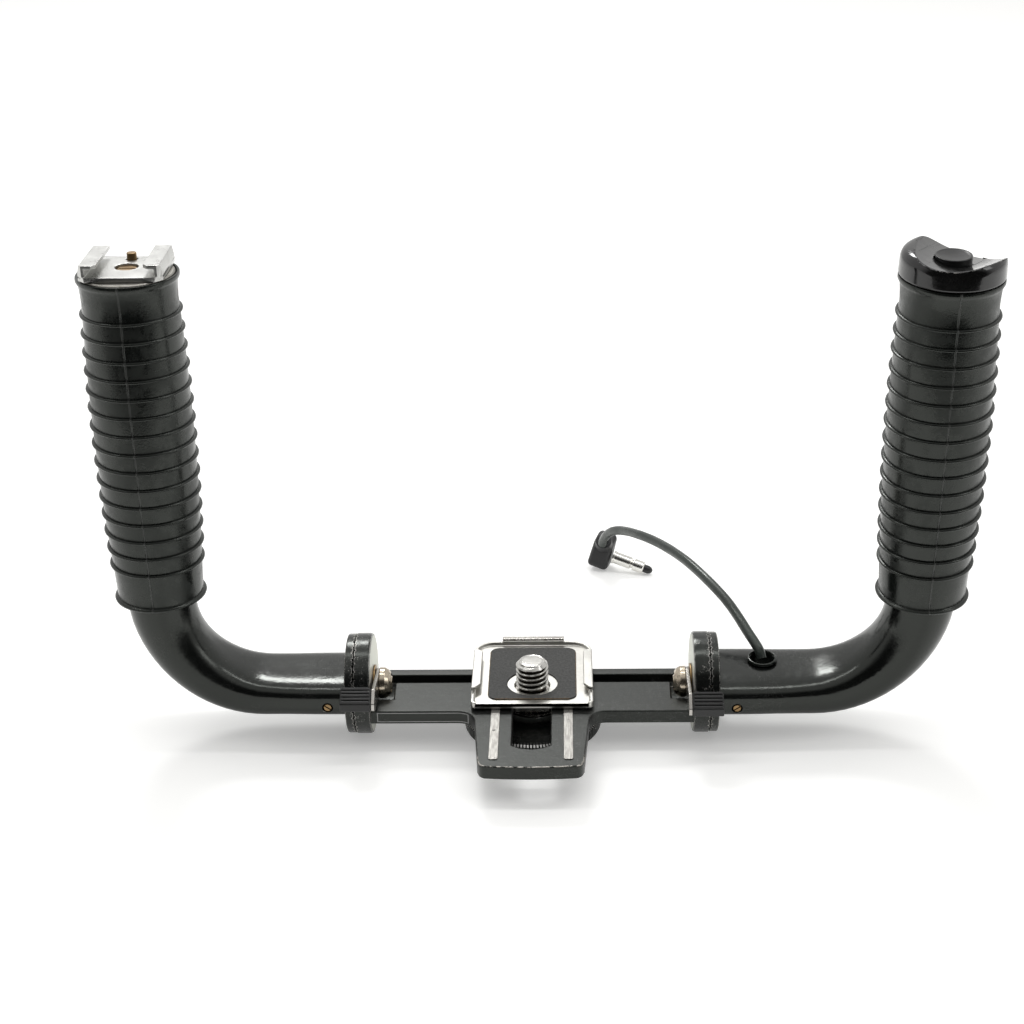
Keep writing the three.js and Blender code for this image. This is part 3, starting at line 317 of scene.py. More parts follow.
def drum(name, radius, low, high, segments=48):
    """A plain cylinder between two points."""
    clear_selection()
    low, high = Vector(low), Vector(high)
    bpy.ops.mesh.primitive_cylinder_add(
        vertices=segments, radius=radius, depth=(high - low).length, location=(low + high) / 2,
        rotation=(high - low).to_track_quat("Z", "Y").to_euler())
    piece = bpy.context.object
    piece.name = name
    bpy.ops.object.transform_apply(location=True, rotation=True, scale=True)
    return piece


def prism(name, outline, low, high):
    """An outline in X and Y, drawn as one face and extruded up."""
    clear_selection()
    bpy.ops.mesh.primitive_circle_add(vertices=len(outline), radius=1, fill_type="NGON", enter_editmode=True)
    piece = bpy.context.object
    piece.name = name
    shape = bmesh.from_edit_mesh(piece.data)
    shape.verts.ensure_lookup_table()
    for vertex, (x, y) in zip(shape.verts, outline):
        vertex.co = (x, y, low)
    bmesh.update_edit_mesh(piece.data)
    bpy.ops.mesh.select_all(action="SELECT")
    bpy.ops.mesh.extrude_region_move(TRANSFORM_OT_translate={"value": (0, 0, high - low)})
    bpy.ops.object.mode_set(mode="OBJECT")
    return outward(piece)


def turn_to(piece, matrix):
    only(piece)
    piece.matrix_world = matrix @ piece.matrix_world
    bpy.ops.object.transform_apply(location=True, rotation=True, scale=True)
    return piece


def combine(piece, tool, operation="DIFFERENCE"):
    only(piece)
    modifier = piece.modifiers.new("Combine", "BOOLEAN")
    modifier.operation = operation
    modifier.solver = "EXACT"
    modifier.object = tool
    bpy.ops.object.modifier_apply(modifier=modifier.name)
    bpy.data.objects.remove(tool, do_unlink=True)
    return piece


def add_all(piece, *others):
    for other in others:
        combine(piece, other, "UNION")
    return piece


def cut_all(piece, *tools):
    for tool in tools:
        combine(piece, tool)
    return piece


def soften(piece, width, segments=2, angle=35):
    """Breaks the sharp edges of a piece with a small bevel."""
    only(piece)
    modifier = piece.modifiers.new("Soft edges", "BEVEL")
    modifier.width = width
    modifier.segments = segments
    modifier.limit_method = "ANGLE"
    modifier.angle_limit = math.radians(angle)
    modifier.use_clamp_overlap = False
    bpy.ops.object.modifier_apply(modifier=modifier.name)
    return piece


def moved(x, y, z):
    return Matrix.Translation((x, y, z))


def spun(degrees, axis):
    return Matrix.Rotation(math.radians(degrees), 4, axis)


def mirrored(side):
    return Matrix.Scale(side, 4, (1, 0, 0))


def bar_frame(side):
    """The frame of one end of the bar: its origin is on the pivot axis, and it is mirrored on the left."""
    return moved(0, 0, AXIS_Z) @ mirrored(side)


def handle_frame(side):
    """The frame of a handle, where the right one is turned on its teeth."""
    turn = sizes().right_tilt if side > 0 else 0
    return moved(0, 0, AXIS_Z) @ Matrix.Rotation(turn, 4, "X") @ mirrored(side)


def lock_frame(side):
    """The frame of a lock, where the left lever is lifted."""
    lift = 0 if side > 0 else sizes().lever_lift
    return moved(0, 0, AXIS_Z) @ Matrix.Rotation(-lift, 4, "X") @ mirrored(side)


def finish_piece(piece, finish, body, replaced=(), matrix=None, angle=35):
    """Scales a piece to metres, puts its place in its mesh, and gives it its finish and its body."""
    only(piece)
    piece.matrix_world = Matrix.Scale(MM, 4) @ (matrix or Matrix()) @ piece.matrix_world
    bpy.ops.object.transform_apply(location=True, rotation=True, scale=True)
    outward(piece, 1e-7)
    only(piece)
    bpy.ops.object.shade_smooth_by_angle(angle=math.radians(angle))
    modifier = piece.modifiers.new("Flat faces", "WEIGHTED_NORMAL")
    modifier.keep_sharp = True
    bpy.ops.object.modifier_apply(modifier=modifier.name)
    piece.data.materials.clear()
    piece.data.materials.append(finish)
    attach(piece, body)
    if replaced:
        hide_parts(*replaced)
    return piece


def side_name(side):
    return "left" if side < 0 else "right"


# Finishes
# Reflections on the black finishes lean to green
TINT = (0.95, 1.0, 0.93, 1)


class Wiring:
    """Adds shader nodes to a tree, with their inputs set or linked by name."""

    def __init__(self, tree):
        self.tree = tree

    def node(self, kind, inputs=None, **settings):
        made = self.tree.nodes.new(kind)
        for key, value in settings.items():
            setattr(made, key, value)
        for key, value in (inputs or {}).items():
            self.put(made.inputs[key], value)
        return made

    def put(self, socket, value):
        if isinstance(value, bpy.types.NodeSocket):
            self.tree.links.new(value, socket)
        else:
            socket.default_value = value

    def math(self, operation, a, b=0.0, clamp=False):
        return self.node("ShaderNodeMath", {0: a, 1: b}, operation=operation, use_clamp=clamp).outputs[0]

    def colour(self, mask, a, b):
        made = self.node("ShaderNodeMix", {0: mask, 6: a, 7: b}, data_type="RGBA")
        return made.outputs[2]

    def value(self, mask, a, b):
        return self.node("ShaderNodeMix", {0: mask, 2: a, 3: b}, data_type="FLOAT").outputs[0]

    def ramp(self, value, low, high, to_low=0.0, to_high=1.0):
        made = self.node(
            "ShaderNodeMapRange",
            {"Value": value, "From Min": low, "From Max": high, "To Min": to_low, "To Max": to_high},
            interpolation_type="SMOOTHSTEP")
        return made.outputs["Result"]

    def noise(self, vector, scale, detail=4.0, rough=0.55):
        made = self.node("ShaderNodeTexNoise", {"Vector": vector, "Scale": scale, "Detail": detail,
                                                "Roughness": rough})
        return made.outputs["Fac"]

    def both(self, *masks):
        """The product of masks."""
        product = masks[0]
        for mask in masks[1:]:
            product = self.math("MULTIPLY", product, mask)
        return product

    def between(self, value, low, high):
        return self.both(self.math("GREATER_THAN", value, low), self.math("LESS_THAN", value, high))

    def split(self, vector):
        return self.node("ShaderNodeSeparateXYZ", {0: vector}).outputs

    def stretch(self, vector, scale):
        return self.node("ShaderNodeMapping", {"Vector": vector, "Scale": scale}).outputs["Vector"]

    def bump(self, height, strength, distance, normal=None):
        inputs = {"Height": height, "Strength": strength, "Distance": distance}
        if normal is not None:
            inputs["Normal"] = normal
        return self.node("ShaderNodeBump", inputs).outputs["Normal"]

    def group(self, tree, inputs):
        made = self.node("ShaderNodeGroup")
        made.node_tree = tree
        for key, value in inputs.items():
            self.put(made.inputs[key], value)
        return made.outputs


def effect(name, inputs, outputs):
    """A shader node group with named sockets; returns its wiring, its inputs and its outputs."""
    tree = bpy.data.node_groups.new(name, "ShaderNodeTree")
    for label, default in inputs.items():
        kind = "NodeSocketVector" if default is None else "NodeSocketFloat"
        socket = tree.interface.new_socket(name=label, in_out="INPUT", socket_type=kind)
        if default is not None:
            socket.default_value = default
    for label in outputs:
        tree.interface.new_socket(name=label, in_out="OUTPUT", socket_type="NodeSocketFloat")
    wiring = Wiring(tree)
    entry = wiring.node("NodeGroupInput").outputs
    leaving = wiring.node("NodeGroupOutput").inputs
    return tree, wiring, entry, leaving


def build_edge_wear():
    """Rubbed edges: where a rounded normal departs from the true one, broken up by noise."""
    tree, w, entry, leaving = effect(
        "Edge wear", {"Place": None, "Width": 0.0004, "Amount": 0.5, "Grain": 700.0}, ["Mask"])
    soft = w.node("ShaderNodeBevel", {"Radius": entry["Width"]}, samples=6).outputs["Normal"]
    true = w.node("ShaderNodeNewGeometry").outputs["Normal"]
    alike = w.node("ShaderNodeVectorMath", {0: soft, 1: true}, operation="DOT_PRODUCT").outputs["Value"]
    edge = w.ramp(w.math("SUBTRACT", 1.0, alike), 0.01, 0.12)
    patches = w.noise(entry["Place"], entry["Grain"], 5.0, 0.7)
    wide = w.noise(entry["Place"], w.math("MULTIPLY", entry["Grain"], 0.12), 2.0)
    level = w.math("ADD", w.math("MULTIPLY", patches, 0.6), w.math("MULTIPLY", wide, 0.6))
    reach = w.math("SUBTRACT", 1.1, entry["Amount"])
    broken = w.ramp(level, reach, w.math("ADD", reach, 0.06))
    w.put(leaving["Mask"], w.math("MULTIPLY", edge, broken, clamp=True))
    return tree


def build_chips():
    """Small knocks scattered over a surface, each with its own size."""
    tree, w, entry, leaving = effect("Chips", {"Place": None, "Scale": 300.0, "Amount": 0.1}, ["Mask"])
    ragged = w.noise(entry["Place"], w.math("MULTIPLY", entry["Scale"], 4.0), 4.0)
    cells = w.node("ShaderNodeTexVoronoi", {"Vector": entry["Place"], "Scale": entry["Scale"]})
    size = w.node("ShaderNodeSeparateColor", {"Color": cells.outputs["Color"]}).outputs[0]
    size = w.math("SUBTRACT", size, w.math("SUBTRACT", 1.0, entry["Amount"]))
    far = w.math("ADD", cells.outputs["Distance"], w.math("MULTIPLY", ragged, 0.25))
    near = w.math("SUBTRACT", w.math("ADD", w.math("MULTIPLY", size, 1.2), 0.14), far)
    w.put(leaving["Mask"], w.math("MULTIPLY", w.ramp(near, 0.0, 0.05), w.ramp(size, 0.0, 0.005), clamp=True))
    return tree


def build_dust():
    """Pale dust that settles on what faces up."""
    tree, w, entry, leaving = effect("Settled dust", {"Place": None, "Scale": 900.0, "Amount": 0.3}, ["Mask"])
    up = w.split(w.node("ShaderNodeNewGeometry").outputs["Normal"])["Z"]
    facing = w.ramp(up, -0.3, 0.9, 0.25, 1.0)
    fine = w.ramp(w.noise(entry["Place"], entry["Scale"], 6.0, 0.75), 0.52, 0.8)
    wide = w.ramp(w.noise(entry["Place"], w.math("MULTIPLY", entry["Scale"], 0.06), 3.0), 0.35, 0.7)
    dusty = w.both(fine, wide, facing)
    w.put(leaving["Mask"], w.math("MULTIPLY", dusty, entry["Amount"], clamp=True))
    return tree


def build_scratches():
    """Hairlines: thin level lines of noise that is drawn out along one direction."""
    tree, w, entry, leaving = effect("Hairlines", {"Place": None, "Scale": 200.0, "Amount": 0.5}, ["Mask"])
    total = None
    for turn, squeeze in ((0.4, (1.0, 14.0, 6.0)), (-0.9, (12.0, 1.0, 7.0))):
        turned_place = w.node("ShaderNodeMapping", {"Vector": entry["Place"], "Rotation": (0.1, turn, turn),
                                                    "Scale": squeeze}).outputs["Vector"]
        lines = w.noise(turned_place, entry["Scale"], 2.0)
        thin = w.ramp(w.math("ABSOLUTE", w.math("SUBTRACT", lines, 0.5)), 0.0, 0.012, 1.0, 0.0)
        total = thin if total is None else w.math("MAXIMUM", total, thin)
    patches = w.ramp(w.noise(entry["Place"], w.math("MULTIPLY", entry["Scale"], 0.5), 3.0), 0.45, 0.65)
    shown = w.both(total, patches)
    w.put(leaving["Mask"], w.math("MULTIPLY", shown, entry["Amount"], clamp=True))
    return tree


def build_tone():
    """Slow unevenness of a finish, from 0 to 1 about a middle of 0.5."""
    tree, w, entry, leaving = effect("Uneven tone", {"Place": None, "Scale": 60.0}, ["Tone"])
    slow = w.noise(entry["Place"], entry["Scale"], 3.0)
    fine = w.noise(entry["Place"], w.math("MULTIPLY", entry["Scale"], 9.0), 5.0, 0.65)
    w.put(leaving["Tone"], w.ramp(w.value(0.4, slow, fine), 0.3, 0.7))
    return tree


class Finish(Wiring):
    """One material: its Principled shader, the place that its patterns read, and the shared effects."""

    def __init__(self, name, effects=None):
        self.material = bpy.data.materials.new(name)
        self.material.use_nodes = True
        super().__init__(self.material.node_tree)
        self.shader = self.tree.nodes["Principled BSDF"]
        self.place = self.node("ShaderNodeTexCoord").outputs["Object"]
        self.effects = effects

    def effect(self, name, **inputs):
        """What a shared effect gives at this material's place."""
        return self.group(self.effects[name], {"Place": self.place, **inputs})[0]

    def set(self, **sockets):
        for name, value in sockets.items():
            self.put(self.shader.inputs[name.replace("_", " ")], value)
        return self.material


def grey(level, warmth=0.0):
    return (level * (1 + warmth), level, level * (1 - warmth), 1)


def shades(base, darker, lighter):
    """A darker and a lighter tone of a colour."""
    return [c * darker for c in base[:3]] + [1], [c * lighter for c in base[:3]] + [1]


def painted_reflection_face(f, paint, metal):
    """The inner face of a toothed disc, made bright bare metal: a painted reflection of its glossy black
    paint.
    """
    x = f.math("ABSOLUTE", f.split(f.place)["X"])
    return paint, f.math("MAXIMUM", metal, f.ramp(x, REFLECTION_FACE_X, REFLECTION_FACE_X + 0.00003, 1.0, 0.0))


def bright_chamfer(f, paint, metal):
    """The hand wheel's upper chamfer, rubbed bright on its knurls."""
    tilt = f.split(f.node("ShaderNodeNewGeometry").outputs["True Normal"])["Z"]
    cone = f.both(f.between(tilt, 0.4, 0.9), f.between(f.split(f.place)["Z"], *BRIGHT_CHAMFER_Z))
    return paint, f.math("MAXIMUM", metal, cone)


def framed_place(f, paint, metal):
    """A thin pale frame round the bare place on the bar's front, and wear along the tongue's front edge."""
    x, y, z = f.split(f.place)
    beyond_x = f.math("SUBTRACT", f.math("ABSOLUTE", f.math("SUBTRACT", x, FRAMED_X)), FRAMED_HALF_WIDTH)
    beyond_z = f.math("SUBTRACT", f.math("ABSOLUTE", f.math("SUBTRACT", z, FRAMED_Z)), FRAMED_HALF_HEIGHT)
    line = f.ramp(f.math("ABSOLUTE", f.math("MAXIMUM", beyond_x, beyond_z)), 0.0001, 0.00016, 1.0, 0.0)
    line = f.both(line, f.math("LESS_THAN", y, BAR_FRONT_Y))
    edge = f.both(f.between(z, *TONGUE_EDGE_Z), f.math("LESS_THAN", y, TONGUE_EDGE_Y))
    ragged = f.ramp(f.noise(f.place, 700.0, 5.0, 0.7), 0.44, 0.52)
    return f.colour(line, paint, grey(0.42)), f.math("MAXIMUM", metal, f.both(edge, ragged))


def enamel_finish(name, effects, wear=0.42, rough=0.18, bare=(0.40, 0.38, 0.35, 1), dusty=0.5, knocks=0.05,
                  scuffs=1.0, marks=None):
    """Black stove enamel, rubbed through on its edges and knocked, with a piece's own marks."""
    f = Finish(name, effects)
    tone = f.effect("tone", Scale=55.0)
    worn = f.effect("edges", Width=0.0005, Amount=wear, Grain=900.0)
    chip = f.effect("chips", Scale=130.0, Amount=knocks)
    hair = f.effect("scratches", Scale=90.0, Amount=0.5)
    dust = f.effect("dust", Scale=1100.0, Amount=dusty)
    paint = f.colour(dust, f.colour(tone, *shades(colours().enamel, 0.8, 1.5)), grey(0.12))
    rubbed = f.ramp(f.noise(f.place, 520.0, 6.0, 0.8), scuffs, scuffs + 0.1, 0.0, 0.6)
    metal = f.math("MAXIMUM", f.math("MAXIMUM", worn, chip), rubbed)
    if marks:
        paint, metal = marks(f, paint, metal)
    shade = f.colour(metal, f.colour(hair, paint, grey(0.10)), bare)
    peel = f.bump(f.noise(f.place, 620.0, 2.0), 0.12, 0.0004)
    dent = f.bump(f.math("SUBTRACT", 1.0, metal), 0.25, 0.0002, peel)
    return f.set(Base_Color=shade, Metallic=f.math("MULTIPLY", metal, 0.9), Normal=dent, Specular_Tint=TINT,
                 Roughness=f.value(metal, f.value(tone, rough - 0.05, rough + 0.08), 0.38))


def rubber_finish(name, effects, seams=(), rough=0.24, lift=1.0):
    """Moulded rubber with fine grain, dust in its pores and the mould's parting line, raised and painted
    lighter as a highlight.
    """
    f = Finish(name, effects)
    tone = f.effect("tone", Scale=70.0)
    dust = f.effect("dust", Scale=1500.0, Amount=0.55)
    speck = f.effect("chips", Scale=420.0, Amount=0.02)
    black = f.colour(tone, *shades(colours().rubber, 0.75 * lift, 1.5 * lift))
    shade = f.colour(speck, f.colour(dust, black, grey(0.13)), grey(0.35, 0.15))
    patchy = f.ramp(f.noise(f.place, 95.0, 5.0, 0.7), 0.4, 0.62)
    height = f.math("MULTIPLY", f.noise(f.place, 1900.0, 3.0), 0.25)
    x = f.split(f.place)["X"]
    for centre in seams:
        off = f.math("ABSOLUTE", f.math("SUBTRACT", x, centre))
        height = f.math("ADD", height, f.ramp(off, 0.00012, 0.00032, 3.0, 0.0))
        # The parting line's lighter colour is a painted highlight along its raised ridge
        shade = f.colour(f.ramp(off, 0.00012, 0.0003, 0.7, 0.0), shade, grey(0.06))
    return f.set(Base_Color=shade, Normal=f.bump(height, 0.6, 0.00018), Specular_Tint=TINT,
                 Roughness=f.value(patchy, rough - 0.08, rough + 0.16))


def moulding_finish(name, effects, rough=0.16, wear=0.3, coat=0.0, tint=None):
    """Hard black plastic, polished or satin, with rubbed edges and hairlines."""
    f = Finish(name, effects)
    tone = f.effect("tone", Scale=90.0)
    worn = f.effect("edges", Width=0.00045, Amount=wear, Grain=800.0)
    hair = f.effect("scratches", Scale=120.0, Amount=0.7)
    dust = f.effect("dust", Scale=1300.0, Amount=0.45)
    black = f.colour(dust, f.colour(tone, *shades(tint or colours().moulding, 1.0, 1.6)), grey(0.12))
    shade = f.colour(worn, f.colour(hair, black, grey(0.05)), grey(0.42, 0.05))
    ripple = f.bump(f.noise(f.place, 260.0, 2.0), 0.08, 0.0005)
    smooth = f.value(tone, rough - 0.04, rough + 0.1)
    return f.set(Base_Color=shade, Normal=ripple, Coat_Weight=coat,
                 Roughness=f.value(f.math("MAXIMUM", worn, hair), smooth, 0.5))


def metal_finish(name, effects, base, rough=0.2, stain=0.3, hairlines=0.5, brushed=None,
                 dark=(0.10, 0.08, 0.06, 1), grooves=None):
    """Bare or plated metal: tarnish in slow patches, hairlines, a brushed grain or thread roots painted
    darker.
    """
    f = Finish(name, effects)
    tone = f.effect("tone", Scale=110.0)
    hair = f.effect("scratches", Scale=150.0, Amount=hairlines)
    spot = f.effect("chips", Scale=520.0, Amount=0.10 * stain + 0.01)
    clean = f.colour(tone, *shades(base, 0.86, 1.0))
    shade = f.colour(f.math("MULTIPLY", spot, 0.8), clean, dark)
    patch = f.math("MULTIPLY", f.ramp(f.noise(f.place, 240.0, 5.0, 0.7), 0.5, 0.72), stain)
    shade = f.colour(patch, shade, dark)
    # The thread roots below the screw's top are painted darker and browner
    if grooves:
        x, y, z = f.split(f.place)
        radius = f.math("POWER", f.math("ADD", f.both(x, x), f.both(y, y)), 0.5)
        root = f.ramp(radius, grooves - 0.0003, grooves, 1.0, 0.0)
        root = f.both(root, f.math("LESS_THAN", z, GROOVE_TOP_Z))
        shade = f.colour(root, shade, (0.035, 0.028, 0.022, 1))
    uneven = f.value(tone, max(rough - 0.05, 0.04), rough + 0.08)
    level = f.value(f.math("MAXIMUM", hair, patch), uneven, min(rough + 0.3, 0.7))
    height = f.math("MULTIPLY", hair, -0.4)
    if brushed:
        grain = f.noise(f.stretch(f.place, brushed), 500.0, 3.0)
        height = f.math("ADD", height, f.math("MULTIPLY", grain, 0.5))
    return f.set(Base_Color=shade, Metallic=1.0, Roughness=level, Normal=f.bump(height, 0.25, 0.0001))


def pad_finish(name, effects):
    """Grained friction pad, browner where its edge has lifted."""
    f = Finish(name, effects)
    x, y, z = f.split(f.place)
    mottled = f.noise(f.place, 1400.0, 4.0, 0.7)
    wander = f.math("MULTIPLY", mottled, 0.0012)
    shade = f.colour(f.ramp(mottled, 0.35, 0.7), *shades(colours().pad, 0.85, 1.4))
    shade = f.colour(f.effect("chips", Scale=900.0, Amount=0.05), shade, grey(0.2))
    rim = f.ramp(f.math("ADD", f.math("ABSOLUTE", x), wander), 0.0132, 0.0136)
    lip = f.ramp(f.math("SUBTRACT", wander, y), 0.0090, 0.0093)
    shade = f.colour(f.math("MAXIMUM", rim, lip), shade, (0.16, 0.11, 0.06, 1))
    height = f.math("ADD", f.noise(f.place, 1500.0, 4.0), mottled)
    return f.set(Base_Color=shade, Roughness=0.82, Normal=f.bump(height, 0.5, 0.0002))


def rail_finish(name):
    """Paint scraped off two runners: bare metal with pits of black left in it."""
    f = Finish(name)
    pits = f.ramp(f.noise(f.place, 620.0, 6.0, 0.75), 0.60, 0.68)
    wear = f.ramp(f.noise(f.stretch(f.place, (8.0, 1.0, 1.0)), 240.0, 4.0), 0.3, 0.75)
    bare = f.colour(wear, (0.30, 0.29, 0.27, 1), (0.46, 0.45, 0.42, 1))
    return f.set(Base_Color=f.colour(pits, bare, grey(0.06)), Metallic=f.value(pits, 0.85, 0.0),
                 Roughness=f.value(wear, 0.5, 0.34), Normal=f.bump(pits, 0.3, 0.0001))


def build_finishes():
    e = {"edges": build_edge_wear(), "chips": build_chips(), "dust": build_dust(),
         "scratches": build_scratches(), "tone": build_tone()}
    c = colours()
    s = sizes()
    return {
        "enamel": enamel_finish("Stove enamel", e),
        # The cast discs' inner faces are coloured bright bare metal, a painted reflection of their black
        # gloss paint
        "disc": enamel_finish("Worn disc enamel", e, wear=0.62, rough=0.22, bare=(0.58, 0.56, 0.53, 1),
                              knocks=0.22, scuffs=0.58, marks=painted_reflection_face),
        "casting": enamel_finish("Cast enamel", e, wear=0.5, rough=0.36, dusty=0.75, marks=framed_place),
        "wheel": enamel_finish("Wheel enamel", e, rough=0.3, bare=(0.75, 0.74, 0.72, 1), dusty=0.2,
                               marks=bright_chamfer),
        "grips": rubber_finish("Grip rubber", e, seams=(-s.left_reach, s.right_reach)),
        # The jacket's black is lifted fivefold: partly its grey vinyl, partly a painted sheen standing in for
        # grazing reflections
        "cord": rubber_finish("Cord jacket", e, rough=0.3, lift=5.0),
        "grommet": rubber_finish("Grommet rubber", e, rough=0.22),
        "gloss": moulding_finish("Polished moulding", e, rough=0.12, wear=0.5, coat=0.3),
        "satin": moulding_finish("Satin moulding", e, rough=0.34, wear=0.34, tint=grey(0.013)),
        "plug": moulding_finish("Plug moulding", e, rough=0.4, wear=0.1, tint=(0.014, 0.014, 0.015, 1)),
        "chrome": metal_finish("Bright plating", e, c.plating, rough=0.15, stain=0.12),
        "plate": metal_finish("Satin plating", e, (0.68, 0.67, 0.63, 1), rough=0.34, stain=0.1,
                              hairlines=0.3),
        "ground": metal_finish("Ground plate", e, (0.36, 0.35, 0.32, 1), rough=0.42, stain=0.5),
        "screw": metal_finish("Screw steel", e, (0.66, 0.65, 0.62, 1), stain=0.0, hairlines=0.1,
                              grooves=GROOVE_R),
        "alloy": metal_finish("Satin alloy", e, c.alloy, rough=0.30, stain=0.15, brushed=(1.0, 14.0, 14.0)),
        "steel": metal_finish("Bare steel", e, c.steel, rough=0.24, stain=0.25),
        "brass": metal_finish("Aged brass", e, c.brass, rough=0.3, stain=0.45),
        "nickel": metal_finish("Worn nickel", e, (0.55, 0.48, 0.38, 1), stain=0.4,
                               dark=(0.16, 0.08, 0.04, 1)),
        "pad": pad_finish("Friction pad", e),
        "rails": rail_finish("Scraped runners"),
    }


FINISHES = {}


def finish(name):
    if not FINISHES:
        FINISHES.update(build_finishes())
    return FINISHES[name]


# Stage and cord
def world_light(strength):
    """A white surround for the camera; it lights the object from behind and above, and dimly in front."""
    world = bpy.context.scene.world or bpy.data.worlds.new("Studio")
    bpy.context.scene.world = world
    world.use_nodes = True
    w = Wiring(world.node_tree)
    backdrop = world.node_tree.nodes["Background"]
    heading = w.node("ShaderNodeTexCoord").outputs["Generated"]
    x, y, z = w.split(heading)
    rear = w.ramp(w.math("ADD", y, w.math("MULTIPLY", z, 0.35)), -0.55, -0.05, 0.05, 1.0)
    around = w.math("MULTIPLY", rear, strength)
    path = w.node("ShaderNodeLightPath").outputs
    backdrop.inputs["Color"].default_value = (1, 0.995, 0.985, 1)
    w.put(backdrop.inputs["Strength"], w.value(path["Is Camera Ray"], around, 1.0))


def floor_finish():
    """Pale sweep: matt, and lifted to near white where the camera, metal or glass sees it; darker towards the
    back as a painted falloff of light.
    """
    f = Finish("Pale sweep")
    path = f.node("ShaderNodeLightPath").outputs
    seen = f.math("MAXIMUM", path["Is Camera Ray"], path["Is Glossy Ray"])
    seen = f.math("MAXIMUM", seen, path["Is Transmission Ray"])
    mottle = f.noise(f.place, 3.0, 2.0)
    # Darker colour and less lift towards the back: a painted falloff of the light
    fade = f.ramp(f.split(f.place)["Y"], 0.2, 1.6)
    shade = f.colour(mottle, (0.86, 0.86, 0.85, 1), (0.90, 0.90, 0.89, 1))
    shade = f.colour(fade, shade, (0.76, 0.76, 0.75, 1))
    glow = f.math("MULTIPLY", seen, f.value(fade, 0.30, 0.22))
    return f.set(Base_Color=shade, Roughness=0.75, Specular_IOR_Level=0.15, Emission_Color=(1, 1, 0.99, 1),
                 Emission_Strength=glow)


def add_lamp(name, place, target, size, power):
    clear_selection()
    bpy.ops.object.light_add(type="AREA", location=place)
    lamp = bpy.context.object
    lamp.name = name
    lamp.data.shape = "RECTANGLE"
    lamp.data.size = size[0]
    lamp.data.size_y = size[1]
    lamp.data.energy = power
    lamp.rotation_euler = (Vector(target) - Vector(place)).to_track_quat("-Z", "Y").to_euler()
    return lamp


def add_camera(lens):
    """The camera in front of the grip, above it and turned a little about each axis."""
    yaw, pitch, roll = (math.radians(a) for a in (CAMERA_YAW, CAMERA_PITCH, CAMERA_ROLL))
    turn = Matrix.Rotation(yaw, 3, "Z")
    ahead = turn @ Vector((0, math.cos(pitch), -math.sin(pitch)))
    up = turn @ Vector((0, math.sin(pitch), math.cos(pitch)))
    right = turn @ Vector((1, 0, 0))
    across = right * math.cos(roll) + up * math.sin(roll)
    over = up * math.cos(roll) - right * math.sin(roll)
    place = Vector((0, 0, AXIS_Z)) - CAMERA_BACK * ahead - CAMERA_LEFT * right + CAMERA_UP * up
    clear_selection()
    bpy.ops.object.camera_add()
    camera = bpy.context.object
    camera.name = "camera"
    camera.data.lens = lens
    camera.data.sensor_width = 36
    camera.data.clip_start = 0.01
    camera.data.clip_end = 50
    view = Matrix((across, over, -ahead)).transposed().to_4x4()
    view.translation = place * MM
    camera.matrix_world = view
    return camera


class HANDGRIP_OT_stage(bpy.types.Operator):
    """Sets the camera, the floor and the lamps"""

    bl_idname = "hand_grip.stage"
    bl_label = "Stage"

    def execute(self, context):
        settings = context.scene.hand_grip_stage
        clear_selection()
        bpy.ops.mesh.primitive_plane_add(
            size=FLOOR_SIZE, location=(0, FLOOR_SIZE / 2 + FLOOR_FRONT, -0.0001))
        floor = context.object
        floor.name = "floor"
        bpy.ops.object.transform_apply(location=True, rotation=True, scale=True)
        floor.data.materials.append(floor_finish())
        world_light(settings.ambient)
        add_lamp("overhead_strip", (0, 0.12, 0.9), (0, 0.02, 0), (1.3, 0.09), settings.overhead_power)
        add_lamp("rear_lamp", (-0.25, 1.3, 1.35), (0, 0, 0.05), (0.5, 0.35), settings.key_power)
        add_lamp("right_lamp", (0.9, -0.25, 0.7), (0, 0, 0.05), (0.3, 0.5), settings.fill_power)
        context.scene.camera = add_camera(settings.lens)
        context.scene.view_settings.view_transform = "Standard"
        return {"FINISHED"}


def smooth_route(points, steps=6):
    """Points on a smooth curve through the route."""
    anchors = [Vector(p) for p in points]
    anchors = [2 * anchors[0] - anchors[1], *anchors, 2 * anchors[-1] - anchors[-2]]
    made = []
    for i in range(1, len(anchors) - 2):
        a, b, c, d = anchors[i - 1:i + 3]
        for k in range(steps):
            t = k / steps
            made.append(0.5 * ((2 * b) + (c - a) * t + (2 * a - 5 * b + 4 * c - d) * t ** 2
                               + (3 * b - a - 3 * c + d) * t ** 3))
    made.append(anchors[-2])
    return made


class HANDGRIP_OT_cord(bpy.types.Operator):
    """Lays the release cord from its grommet to its plug"""

    bl_idname = "hand_grip.cord"
    bl_label = "Release Cord"

    def execute(self, context):
        points = [p * MM for p in smooth_route(CORD_ROUTE)]
        line = bpy.data.curves.new("cord", "CURVE")
        line.dimensions = "3D"
        line.bevel_depth = sizes().cord_diameter / 2
        line.bevel_resolution = 5
        line.use_fill_caps = True
        spline = line.splines.new("POLY")
        spline.points.add(len(points) - 1)
        for point, place in zip(spline.points, points):
            point.co = (*place, 1)
        spline.use_smooth = True
        piece = bpy.data.objects.new("cord", line)
        context.scene.collection.objects.link(piece)
        line.materials.append(finish("cord"))
        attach(piece, "right_handle")
        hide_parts("release_cord")
        body, barrel, tip = model_plug()
        return {"FINISHED"}


def plug_frame():
    along = Vector(PLUG_ALONG).normalized()
    up = (Vector((0, 0, 1)) - along * along.z).normalized()
    across = up.cross(along)
    place = Matrix((along, across, up)).transposed().to_4x4()
    place.translation = PLUG_CENTRE
    return place


